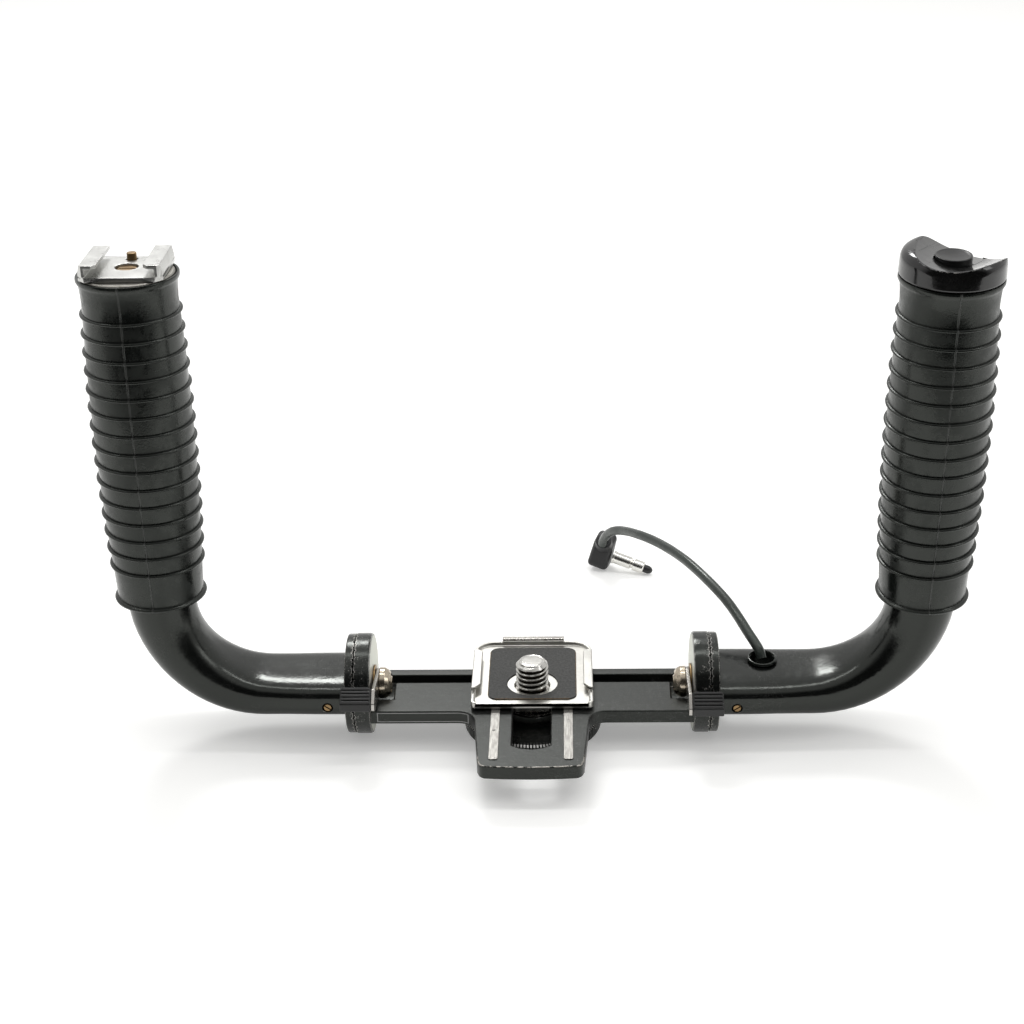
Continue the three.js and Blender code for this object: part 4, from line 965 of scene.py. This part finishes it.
def model_plug():
    """The right-angle plug: moulded body with a collar for the cord, stepped barrel, and tip."""
    body = slab("plug_moulding", (-4.3, -4.5, -4.75), (4.3, 4.5, 7.3))
    bpy.ops.object.mode_set(mode="EDIT")
    pick(body, lambda p, n: p.z > 0 and p.y < 0, "VERT")
    bpy.ops.transform.translate(value=(0, 2.2, -2.4))
    pick(body, lambda p, n: p.z > 0 and p.y > 0, "VERT")
    bpy.ops.transform.translate(value=(0, -1.0, 0))
    pick(body, lambda p, n: n.z > 0.5, "FACE")
    bpy.ops.transform.resize(value=(0.8, 1, 1), center_override=(0.5, 0, 6))
    pick(body, lambda p, n: n.z < -0.5, "FACE")
    bpy.ops.transform.resize(value=(0.86, 0.86, 1), center_override=(0.6, 0, -4.75))
    bpy.ops.object.mode_set(mode="OBJECT")
    soften(body, 1.5, 4, 30)
    aim = Vector((0, -3.6, 4.1)).normalized()
    seat = moved(0.2, -2.7, 5.8) @ aim.to_track_quat("Z", "Y").to_matrix().to_4x4()
    collar = turned("collar", rounded([(3.1, -2.5), (2.9, -0.3), (2.75, 1.0, 0.35), (1.0, 1.0)]), 40)
    combine(body, turn_to(collar, seat), "UNION")
    combine(body, turn_to(drum("entry", 1.7, (0, 0, -1.0), (0, 0, 3), 32), seat))
    finish_piece(body, finish("plug"), "right_handle", ["plug_body"], plug_frame(), 40)

    to_barrel = plug_frame() @ spun(90, "Y")
    root = 4.4
    barrel = turned("plug_sleeve", rounded([
        (2.3, root), (2.3, root + 0.5, 0.15), (2.1, root + 0.6), (2.1, root + 6.5, 0.2), (1.55, root + 6.8),
        (1.55, root + 7.35), (2.1, root + 7.55, 0.15), (2.1, root + 11.0, 0.3), (1.7, root + 11.3)]), 48)
    finish_piece(barrel, finish("chrome"), "right_handle", ["plug_barrel"], to_barrel)
    root = 15.8
    tip = turned("plug_point", rounded([
        (1.4, root), (1.4, root + 1.6, 0.4), (1.1, root + 2.4, 0.3), (0.45, root + 2.95, 0.2),
        (0.05, root + 3)]), 32)
    finish_piece(tip, finish("plug"), "right_handle", ["plug_tip"], to_barrel)
    return body, barrel, tip


# Handles
def ease(value, low, high):
    t = min(max((value - low) / (high - low), 0), 1)
    return t * t * (3 - 2 * t)


def blend(start, end, share):
    return start + (end - start) * share


def tube_rings(reach, bend, wall, around=56):
    """Sections of the bent tube: flat and squarish at the hub, round in the grip."""
    start, end = TUBE_START_X, reach - bend
    straight = end - start
    total = straight + bend * math.pi / 2
    stations = [(start + straight * i / 10, 0, 0, straight * i / 10 / total) for i in range(10)]
    for i in range(19):
        angle = i * math.pi / 36
        stations.append((end + bend * math.sin(angle), bend * (1 - math.cos(angle)), angle,
                         (straight + bend * angle) / total))
    stations.append((reach, TUBE_TOP, math.pi / 2, 1))
    rings = []
    for x, z, angle, share in stations:
        depth = blend(TUBE_FLAT_DEPTH, TUBE_ROUND_R, ease(share, 0.05, 0.95)) - wall
        height = blend(TUBE_FLAT_HEIGHT, TUBE_ROUND_R, ease(share, 0.2, 1)) - wall
        power = blend(3.4, 2, ease(share, 0.3, 0.9))
        ring = []
        for i in range(around):
            t = 2 * math.pi * (i + 0.5) / around
            across = math.copysign(abs(math.cos(t)) ** (2 / power), math.cos(t)) * depth
            up = math.copysign(abs(math.sin(t)) ** (2 / power), math.sin(t)) * height
            ring.append(Vector((x - math.sin(angle) * up, across, z + math.cos(angle) * up)))
        rings.append(ring)
    return rings


class HANDGRIP_OT_tubes(bpy.types.Operator):
    """Models the two bent handle tubes"""

    bl_idname = "hand_grip.tubes"
    bl_label = "Handle Tubes"

    def execute(self, context):
        s = sizes()
        for side, reach, bend in ((-1, s.left_reach, s.left_bend), (1, s.right_reach, s.right_bend)):
            name = side_name(side)
            outer = tube_rings(reach / MM, bend / MM, 0)
            inner = tube_rings(reach / MM, bend / MM, TUBE_WALL)
            tube = lofted(f"{name}_bent_tube", outer + inner[::-1], closed=True)
            holes = [drum("hole", 1.6, (HUB_SCREW_X, -16, HUB_SCREW_Z), (HUB_SCREW_X, -8, HUB_SCREW_Z), 32)]
            if side > 0:
                holes.append(drum("hole", 3.6, (*GROMMET, 0), (*GROMMET, 9), 48))
            cut_all(tube, *holes)
            finish_piece(tube, finish("enamel"), f"{name}_handle", [f"{name}_handle_tube"],
                         handle_frame(side), 50)
        return {"FINISHED"}


def grip_profile():
    """Half section of the rubber grip, closed through its bore."""
    middle, half = (GRIP_TOP + GRIP_BOTTOM) / 2, (GRIP_TOP - GRIP_BOTTOM) / 2
    rib = sizes().rib_height / MM

    def skin(z):
        u = (z - middle) / half
        return 14.6 + 0.32 * u - 1.47 * u * u - rib

    profile = [(GRIP_BORE_R, GRIP_BOTTOM), (12.7, GRIP_BOTTOM), (13.05, GRIP_BOTTOM + 0.25),
               (13.15, GRIP_BOTTOM + 0.6), (13.0, GRIP_BOTTOM + 0.95),
               (skin(GRIP_BOTTOM + 1.5) + 0.1, GRIP_BOTTOM + 1.25)]
    bead = ((-0.52, 0), (-0.5, 0.3), (-0.4, 0.68), (-0.22, 0.92))
    for k in range(RIB_COUNT - 1, -1, -1):
        z = TOP_RIB_Z - k * RIB_PITCH
        profile.append((skin(z - 2.6), z - 2.6))
        for off, lift in (*bead, (0, 1), *[(-off, lift) for off, lift in bead[::-1]]):
            profile.append((skin(z) + lift * rib, z + off))
    profile += [(skin(119.5), 119.5), (13.15, 122.5), (13.35, 124.6), (13.75, 125.3), (14.0, 125.8),
                (14.0, 126.5), (13.85, GRIP_TOP), (13.3, GRIP_TOP), (13.1, 126.6), (13.1, 125.6),
                (GRIP_BORE_R, 125.6), (GRIP_BORE_R, GRIP_BOTTOM)]
    return profile


class HANDGRIP_OT_grips(bpy.types.Operator):
    """Turns the ribbed rubber grip once and puts a copy on each handle"""

    bl_idname = "hand_grip.grips"
    bl_label = "Rubber Grips"

    def execute(self, context):
        s = sizes()
        first = turned("right_rubber", grip_profile(), 88, bored=True)
        second = first.copy()
        second.data = first.data.copy()
        second.name = "left_rubber"
        context.scene.collection.objects.link(second)
        for piece, side, reach in ((first, 1, s.right_reach), (second, -1, s.left_reach)):
            name = side_name(side)
            place = handle_frame(side) @ moved(reach / MM, 0, 0)
            finish_piece(piece, finish("grips"), f"{name}_handle", [f"{name}_grip"],
                         place, 60)
        return {"FINISHED"}


def side_rail(side, half_width, half_depth):
    """One rail of the shoe: its section is extruded along Y, and its lip is cut back at the front."""
    foot, lip, top = 9.3, 6.25, 131.65
    section = [(foot, 128.1), (half_width, 128.1), (half_width, 129.4), (10.75, top), (lip, top),
               (lip, 130.6), (foot, 130.6)]
    rail = prism("rail", section, -half_depth, half_depth)
    turn_to(rail, Matrix(((side, 0, 0, 0), (0, 0, 1, 0), (0, 1, 0, 0), (0, 0, 0, 1))))
    outward(rail)
    cut = [(6, -half_depth - 1), (7.4, -half_depth - 1), (7.4, -half_depth), (6, -half_depth + 1.7)]
    return combine(rail, prism("corner", [(side * x, y) for x, y in cut], 130, 133))


class HANDGRIP_OT_shoe(bpy.types.Operator):
    """Models the top plate, the accessory shoe, its pin and its screw"""

    bl_idname = "hand_grip.shoe"
    bl_label = "Accessory Shoe"

    def execute(self, context):
        place = moved(-sizes().left_reach / MM, 0, AXIS_Z)
        plate = turned("left_end_plate", rounded([
            (7.9, 117), (7.9, 125.7), (12.8, 125.7), (12.8, 126.8, 0.2), (12.4, 127.1), (4, 127.1)]), 96)
        cut_all(plate, drum("hole", 1.9, (0, 0, 116), (0, 0, 128)))
        finish_piece(plate, finish("ground"), "left_handle", ["left_top_plate"], place)

        half, depth, corner, nose = 11.4, 9.5, 1.9, 0.6
        plan = [(-half + corner, -depth - nose), (half - corner, -depth - nose),
                (half, -depth + corner - nose), (half, depth - 1), (half - 1, depth), (-half + 1, depth),
                (-half, depth - 1), (-half, -depth + corner - nose)]
        shoe = prism("shoe", plan, SHOE_BOTTOM, 128.5)
        for side in (-1, 1):
            rail = side_rail(side, half, depth)
            combine(rail, prism("plan", plan, SHOE_BOTTOM, 140), "INTERSECT")
            add_all(shoe, rail)
        cut_all(shoe, drum("hole", 3.2, (0, 0, 126), (0, 0, 130), 64),
                drum("hole", 1.65, (0, SHOE_PIN_Y, 126), (0, SHOE_PIN_Y, 130), 32))
        soften(shoe, 0.16, 2)
        finish_piece(shoe, finish("alloy"), "left_handle", ["accessory_shoe"], place)

        pin = turned("shoe_stop_pin", rounded([
            (0.9, 125.9), (0.9, SHOE_BOTTOM), (1.35, SHOE_BOTTOM), (1.35, 130.3, 0.35), (0.9, 130.3),
            (0.2, 130.2)]), 32)
        finish_piece(pin, finish("brass"), "left_handle", ["shoe_pin"],
                     place @ moved(0, SHOE_PIN_Y, 0))
        screw = turned("shoe_screw", rounded([
            (1.6, 119), (1.6, SHOE_BOTTOM), (2.9, SHOE_BOTTOM), (2.9, 127.9, 0.25), (0.3, 127.95)]), 40)
        cut_all(screw, slab("slot", (-4, -0.35, 127.45), (4, 0.35, 129)))
        finish_piece(screw, finish("brass"), "left_handle", ["shoe_fixing_screw"], place)
        return {"FINISHED"}


def slant_top(cap):
    """Lowers the cap's crown toward the rear, in proportion to its height."""
    slope = math.tan(math.radians(CAP_SLANT)) / 7.8
    only(cap)
    bpy.ops.object.mode_set(mode="EDIT")
    shape = bmesh.from_edit_mesh(cap.data)
    for vertex in shape.verts:
        vertex.co.z -= max(vertex.co.z - CAP_SHOULDER, 0) * slope * vertex.co.y
    bmesh.update_edit_mesh(cap.data)
    bpy.ops.object.mode_set(mode="OBJECT")


class HANDGRIP_OT_release(bpy.types.Operator):
    """Models the gloss cap with its thumb scoop, the button, and the cord's grommet"""

    bl_idname = "hand_grip.release"
    bl_label = "Release Cap and Button"

    def execute(self, context):
        place = handle_frame(1) @ moved(sizes().right_reach / MM, 0, 0)
        cap = turned("scooped_cap", rounded([
            (7.9, 121), (7.9, CAP_BOTTOM), (13.6, CAP_BOTTOM), (14.0, CAP_SHOULDER), (13.75, CAP_TOP, 4.2),
            (3.0, CAP_TOP)], 10), 128)
        slant_top(cap)
        channel = drum("channel", SCOOP_R, (2, -40, 0), (2, 40, 0), 256)
        turn_to(channel, moved(0, 0, SCOOP_BOTTOM + SCOOP_R) @ spun(-30, "Z") @ spun(-11, "X"))
        cut_all(cap, channel, drum("well", 5.2, (0, 0, 124), (0, 0, 140), 72),
                drum("bore", 1.9, (0, 0, 120), (0, 0, 125), 32))
        soften(cap, 0.28, 3, 30)
        finish_piece(cap, finish("gloss"), "right_handle", ["release_cap"], place, 40)

        button = turned("thumb_button", rounded([
            (1.5, 116.5), (1.5, 128.8), (4.85, 128.8), (4.85, 132.4, 0.3), (4.4, 132.42, 0.2),
            (3.9, 132.25, 0.4), (2.4, 132.0), (1.0, 131.9), (0.1, 131.9)]), 72)
        finish_piece(button, finish("satin"), "release_button", ["release_button"], place, 40)

        grommet = turned("grommet", rounded([
            (1.7, 2.1), (4.2, 2.1), (4.2, 3.1), (3.3, 3.1), (3.3, 5.65), (4.1, 5.65, 0.2), (4.45, 6.05, 0.3),
            (4.15, 6.6, 0.3), (3.75, 6.7, 0.2), (3.4, 6.25, 0.3), (2.95, 5.1), (2.95, 4.4), (1.7, 3.4),
            (1.7, 2.1)]), 64, bored=True)
        finish_piece(grommet, finish("grommet"), "right_handle", ["cord_grommet"],
                     handle_frame(1) @ moved(*GROMMET, 0), 60)
        return {"FINISHED"}


# Bar and pivots
def toothed_disc(name, back, face, radius, chamfer):
    """A disc about X with radial V teeth on its face: every sixth line of a turned disc is pulled in."""
    outwards = 1 if face > back else -1
    thick = abs(face - back)
    lines = 6 * TOOTH_COUNT
    inner, edge = 2.6, 0.12
    disc = turned(name, [
        (inner, 0), (radius - chamfer, 0), (radius - chamfer * 0.3, chamfer * 0.25), (radius, chamfer),
        (radius, thick - edge), (radius - edge, thick), (10.5, thick), (inner, thick)], lines)
    only(disc)
    bpy.ops.object.mode_set(mode="EDIT")

    def valley(p, n):
        step = round(math.degrees(math.atan2(p.y, p.x)) / (360 / lines))
        return p.z > thick - 0.2 and p.xy.length > radius - 0.3 and step % 6 == 2

    pick(disc, valley, "VERT")
    bpy.ops.transform.translate(value=(0, 0, -0.42))
    bpy.ops.object.mode_set(mode="OBJECT")
    return turn_to(disc, moved(back, 0, 0) @ spun(90 * outwards, "Y"))


def bar_plan():
    """The casting seen from above: the bar, the tongue and the hollow rounds between them."""
    right = [(BAR_END_X, BAR_HALF_DEPTH), (BAR_END_X, -BAR_HALF_DEPTH), *arc((21.5, -17.5), 5, 90, 180, 8),
             (14.9, -39.4), *arc((12.1, -39.6), 2.6, -10, -72, 5), (8, -42.5)]
    return [*right, (0, -42.75), *[(-x, y) for x, y in right[::-1]]]


class HANDGRIP_OT_casting(bpy.types.Operator):
    """Models the bar, its tongue and slot, and the toothed discs at its ends"""

    bl_idname = "hand_grip.casting"
    bl_label = "Bar Casting"

    def execute(self, context):
        bar = prism("cast_bar", bar_plan(), BAR_BOTTOM, BAR_TOP)
        slot_front = [(5.5, -31.2), (3.4, -32.5), (0, -33.2), (-3.4, -32.5), (-5.5, -31.2)]
        slot = prism("slot", [(5.5, 6), *slot_front, (-5.5, 6)][::-1], 6, 15)
        groove = slab("groove", (-50, 4.4, 9.4), (50, 8.9, 14))
        cut_all(bar, slot, groove)
        for side in (-1, 1):
            cut_all(bar, drum("pocket", 5.9, (side * 40.75, 0, AXIS_Z), (side * 50, 0, AXIS_Z), 64))
        soften(bar, 0.45, 3, 40)
        finish_piece(bar, finish("casting"), "bar", ["bar_casting"])
        for side in (-1, 1):
            name = side_name(side)
            disc = toothed_disc(f"{name}_cast_disc", 46.75, 51.45, 14.8, 0.9)
            cut_all(disc, drum("bore", BORE_R, (46, 0, 0), (52, 0, 0), 40))
            finish_piece(disc, finish("disc"), "bar", (), bar_frame(side))
            x = 10.5 * side
            rail = prism(f"{name}_runner", [
                (x - 1.3, 3.6), (x - 1.3, -38.3), (x - 0.9, -38.8), (x + 0.9, -38.8), (x + 1.3, -38.3),
                (x + 1.3, 3.6)], BAR_TOP - 0.1, BAR_TOP + 0.3)
            soften(rail, 0.12, 2)
            finish_piece(rail, finish("rails"), "bar", [f"tongue_rail_{name}"])
            washer = turned(f"{name}_brass_washer", rounded([
                (BORE_R, 46.15), (5.4, 46.15, 0.12), (5.4, 46.65, 0.12), (BORE_R, 46.65), (BORE_R, 46.15)]),
                56, bored=True)
            turn_to(washer, spun(90, "Y"))
            finish_piece(washer, finish("brass"), "bar", [f"{name}_thrust_washer"], bar_frame(side))
        return {"FINISHED"}


class HANDGRIP_OT_hubs(bpy.types.Operator):
    """Models the handles' toothed hubs, the pivot studs and the screws that pin them"""

    bl_idname = "hand_grip.hubs"
    bl_label = "Handle Hubs"

    def execute(self, context):
        for side in (-1, 1):
            name, body = side_name(side), f"{side_name(side)}_handle"
            disc = toothed_disc(f"{name}_hub_disc", 54.15, 51.75, 14.6, 0.5)
            tongue = slab("tongue", (53.6, -9.6, -3), (62.6, 9.6, 3))
            add_all(disc, tongue)
            cut_all(disc, drum("bore", BORE_R, (51, 0, 0), (63, 0, 0), 40),
                    drum("drill", 1.3, (HUB_SCREW_X, -16, HUB_SCREW_Z), (HUB_SCREW_X, -4.5, HUB_SCREW_Z), 24))
            finish_piece(disc, finish("disc"), body, [f"{name}_hub"], handle_frame(side))
            stud = turned(f"{name}_stud", rounded([
                (1.6, 41.3), (1.8, 41.4), (2.5, 42.2, 0.2), (2.5, 61.6), (0.5, 61.6)]), 48)
            turn_to(stud, spun(90, "Y"))
            finish_piece(stud, finish("nickel"), body, [f"{name}_pivot_stud"], handle_frame(side))
            screw = turned(f"{name}_pin_screw", rounded([
                (1.0, 7.1), (1.0, 11.7), (1.15, 12.0), (1.15, 12.9, 0.2), (0.2, 12.9)]), 32)
            cut_all(screw, slab("slot", (-2, -0.2, 12.45), (2, 0.2, 14)))
            turn_to(screw, moved(HUB_SCREW_X, 0, HUB_SCREW_Z) @ spun(90, "X") @ spun(35, "Z"))
            finish_piece(screw, finish("brass"), body, [f"{name}_hub_screw"], handle_frame(side))
        return {"FINISHED"}


class HANDGRIP_OT_locks(bpy.types.Operator):
    """Models the lock levers, their ribbed finger pads and their domed nuts"""

    bl_idname = "hand_grip.locks"
    bl_label = "Lock Levers"

    def execute(self, context):
        for side in (-1, 1):
            name, body = side_name(side), f"{side_name(side)}_lock"
            to_x = Matrix(((0, 0, 1, 0), (1, 0, 0, 0), (0, 1, 0, 0), (0, 0, 0, 1)))
            arm = prism(f"{name}_lever", [
                *arc((0, 0), 4.4, -153, 99, 28), (-6, 4.2), (-15.1, 4.6), (-18.6, 1.4), (-18.6, -0.6),
                (-16, -2), (-5.2, -2)], LEVER_BACK_X, LEVER_BACK_X + 1)
            cut_all(arm, drum("bore", BORE_R, (0, 0, 44), (0, 0, 47), 40))
            soften(arm, 0.2, 2)
            turn_to(arm, to_x)
            finish_piece(arm, finish("steel"), body, [f"{name}_lock_lever"], lock_frame(side))

            near, high, run, drop = -15, 5.1, 4, 3.5
            block = prism(f"{name}_finger_pad", [
                (near, high), (-19, 1.6), (-19, -0.8), (-15.5, -0.8), (-15.4, 0.3), (-15.18, 2.6)], 46.1, 55)
            soften(block, 0.3, 3, 25)
            for i in range(5):
                at = (i + 0.5) / 5
                rib = slab("rib", (-0.42, -0.5, 46.5), (0.42, 0.42, 54.6))
                soften(rib, 0.2, 2)
                turn_to(rib, moved(near - run * at, high - drop * at, 0)
                        @ Matrix.Rotation(math.atan2(drop, run), 4, "Z"))
                add_all(block, rib)
            turn_to(block, to_x)
            finish_piece(block, finish("satin"), body, [f"{name}_lock_pad"], lock_frame(side))

            nut = turned(f"{name}_dome", rounded([
                (2.6, 41.7), (3.0, 41.7, 0.15), (3.9, 42.3, 0.6), (4.55, 43.4, 0.6), (4.6, 44.9, 0.15),
                (2.6, 44.9), (2.6, 41.7)]), 56, bored=True)
            turn_to(nut, spun(90, "Y"))
            finish_piece(nut, finish("nickel"), body, [f"{name}_dome_nut"], lock_frame(side))
        return {"FINISHED"}


# Camera plate, screw and wheel
def rounded_outline(half, front, rear, front_r, rear_r, front_steps=8):
    """A rectangle about the Y axis with rounded corners, those at the front to another radius."""
    return [*arc((half - front_r, front + front_r), front_r, -90, 0, front_steps),
            *arc((half - rear_r, rear - rear_r), rear_r, 0, 90),
            *arc((-half + rear_r, rear - rear_r), rear_r, 90, 180),
            *arc((-half + front_r, front + front_r), front_r, 180, 270, front_steps)]


def plate_outline(inset):
    """The tray's outline, or the outline of its floor inside the folded rim."""
    return rounded_outline(17.8 - inset, -12.2 + inset, 25.2 - inset, max(1.4 - inset, 0.4), 6 - inset, 4)


class HANDGRIP_OT_carriage(bpy.types.Operator):
    """Models the plated tray with its folded lips, its pad, and the guide block under it"""

    bl_idname = "hand_grip.carriage"
    bl_label = "Camera Plate"

    def execute(self, context):
        tray = prism("plated_tray", plate_outline(0), PLATE_FLOOR, PLATE_FLOOR + 2.05)
        floor_top = PLATE_FLOOR + PLATE_SHEET
        combine(tray, prism("inside", plate_outline(PLATE_SHEET), floor_top, floor_top + 3))
        combine(tray, slab("front", (-16.2, -14, floor_top), (16.2, -10, floor_top + 3)))
        lip_plan = ((17.8, -5.7), (17.8, 17.6), (16.3, 17.6), (15.1, 16.4), (15.1, -3.3), (16.6, -5.1))
        for side in (-1, 1):
            low, high = sorted((side * 16.8, side * 17.8))
            wall = slab("wall", (low, -5.1, 13.3), (high, 17.6, 16.1))
            lip = prism("lip", [(side * x, y) for x, y in lip_plan], 15.5, 16.3)
            add_all(tray, wall, lip)
        add_all(tray, slab("tab", (-9.3, 24.2, 13.4), (9.3, 25.2, 15.3)))
        cut_all(tray, drum("hole", 5.16, (0, 0, 12), (0, 0, 15), 64))
        soften(tray, 0.33, 4, 40)
        finish_piece(tray, finish("plate"), "carriage", ["camera_plate"])

        strip = slab("stop_strip", (-9.4, 24.5, 15.2), (9.4, 26.2, 15.9))
        soften(strip, 0.15, 2)
        finish_piece(strip, finish("steel"), "carriage", ())

        sheet = prism("grained_pad", rounded_outline(13, -8.7, 22, 3, 3), 13.87, 14.25)
        cut_all(sheet, drum("hole", 7.4, (0, 0.5, 13), (0, 0.5, 16), 72))
        soften(sheet, 0.12, 2, 40)
        finish_piece(sheet, finish("pad"), "carriage", ["plate_pad"])

        guide = slab("guide", (-5.2, -7, 8.7), (5.2, 5.3, PLATE_FLOOR))
        cut_all(guide, drum("hole", 3.8, (0, 0, 8), (0, 0, 14), 48))
        soften(guide, 0.25, 2)
        finish_piece(guide, finish("steel"), "carriage", ["slide_block"])
        return {"FINISHED"}


def thread_rings(around=96):
    """Rings of the camera screw: a plain shank, then a rounded thread that runs out at the chamfered top."""
    start, steps = 13.25, 26
    root, depth = 3.85, 0.92
    rings = [(3.0, [3.5] * around), (start - 0.3, [3.5] * around)]
    for k in range(int((SCREW_TOP - start) / THREAD_PITCH * steps)):
        z = start + k * THREAD_PITCH / steps
        crest = THREAD_R - max(z - (SCREW_TOP - 1.25), 0) * 0.95
        grown = depth * min((z - start) / 1.2, 1)
        row = []
        for i in range(around):
            height = 1 - abs(2 * ((z / THREAD_PITCH - i / around) % 1) - 1)
            row.append(min(root + grown * ease(height, 0.22, 0.8), crest))
        rings.append((z, row))
    for radius, rise in ((3.5, 0), (3.3, 0.02), (3.05, -0.12), (2.8, 0)):
        rings.append((SCREW_TOP + rise, [radius] * around))
    turns = [2 * math.pi * i / around for i in range(around)]
    return [[Vector((r * math.cos(a), r * math.sin(a), z)) for a, r in zip(turns, row)] for z, row in rings]


class HANDGRIP_OT_clamp(bpy.types.Operator):
    """Models the camera screw and the knurled hand wheel that turns it"""

    bl_idname = "hand_grip.clamp"
    bl_label = "Screw and Wheel"

    def execute(self, context):
        screw = lofted("threaded_screw", thread_rings())
        finish_piece(screw, finish("screw"), "clamp_screw", ["camera_screw"], None, 38)

        teeth = sizes().wheel_teeth
        wheel = turned("knurled_wheel", [
            (3.9, 2.7), (3.9, 0.5), (12.0, 0), (12.7, 0.1), (13, 0.5), (13, 0.8), (19.3, 0.8), (20.2, 1.7),
            (20.2, 4.6), (19.2, 5.6), (16, 5.6), (15.6, 5.4), (9.0, 5.4), (8.6, 5.6), (8.3, 7.4), (3.9, 7.4),
            (3.9, 2.7)], 4 * teeth, bored=True)
        only(wheel)
        bpy.ops.object.mode_set(mode="EDIT")
        step = math.pi / teeth / 2

        def hollow(p, n):
            return p.xy.length > 20 and round(math.atan2(p.y, p.x) / step) % 4 == 1

        pick(wheel, hollow, "VERT")
        bpy.ops.transform.resize(value=(0.962, 0.962, 1), center_override=(0, 0, 0))
        bpy.ops.object.mode_set(mode="OBJECT")
        finish_piece(wheel, finish("wheel"), "clamp_screw", ["hand_wheel"], None, 25)
        return {"FINISHED"}


CARRIED = {
    "screw_circlip": "steel",
    "wheel_spring_washer": "steel",
    "button_spring": "steel",
    "switch_base": "satin",
    "switch_leaf": "brass",
    "inner_lead": "cord",
}


class HANDGRIP_OT_carried(bpy.types.Operator):
    """Gives the pieces inside the handle and under the plate their finishes"""

    bl_idname = "hand_grip.carried"
    bl_label = "Inner Pieces"

    def execute(self, context):
        for node, name in CARRIED.items():
            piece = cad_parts[node]
            piece.data.materials.clear()
            piece.data.materials.append(finish(name))
        return {"FINISHED"}


STEPS = (
    HANDGRIP_OT_stage, HANDGRIP_OT_cord, HANDGRIP_OT_tubes, HANDGRIP_OT_grips, HANDGRIP_OT_shoe,
    HANDGRIP_OT_release, HANDGRIP_OT_casting, HANDGRIP_OT_hubs, HANDGRIP_OT_locks, HANDGRIP_OT_carriage,
    HANDGRIP_OT_clamp, HANDGRIP_OT_carried,
)


class HANDGRIP_PT_panel(bpy.types.Panel):
    """Lists the steps that build the hand grip"""

    bl_idname = "HANDGRIP_PT_panel"
    bl_label = "Hand Grip"
    bl_space_type = "VIEW_3D"
    bl_region_type = "UI"
    bl_category = "Hand Grip"

    def draw(self, context):
        scene = context.scene
        for settings in (scene.hand_grip_sizes, scene.hand_grip_colours, scene.hand_grip_stage):
            box = self.layout.box()
            for name in settings.__annotations__:
                box.prop(settings, name)
        for step in STEPS:
            self.layout.operator(step.bl_idname)


CLASSES = (HandGripSizes, HandGripColours, HandGripStage, *STEPS, HANDGRIP_PT_panel)


def register():
    for entry in CLASSES:
        bpy.utils.register_class(entry)
    bpy.types.Scene.hand_grip_sizes = bpy.props.PointerProperty(type=HandGripSizes)
    bpy.types.Scene.hand_grip_colours = bpy.props.PointerProperty(type=HandGripColours)
    bpy.types.Scene.hand_grip_stage = bpy.props.PointerProperty(type=HandGripStage)


def unregister():
    del bpy.types.Scene.hand_grip_stage
    del bpy.types.Scene.hand_grip_colours
    del bpy.types.Scene.hand_grip_sizes
    for entry in reversed(CLASSES):
        bpy.utils.unregister_class(entry)


def main():
    register()
    for step in STEPS:
        group, name = step.bl_idname.split(".")
        getattr(getattr(bpy.ops, group), name)()
    clear_selection()


if __name__ == "__main__":
    main()
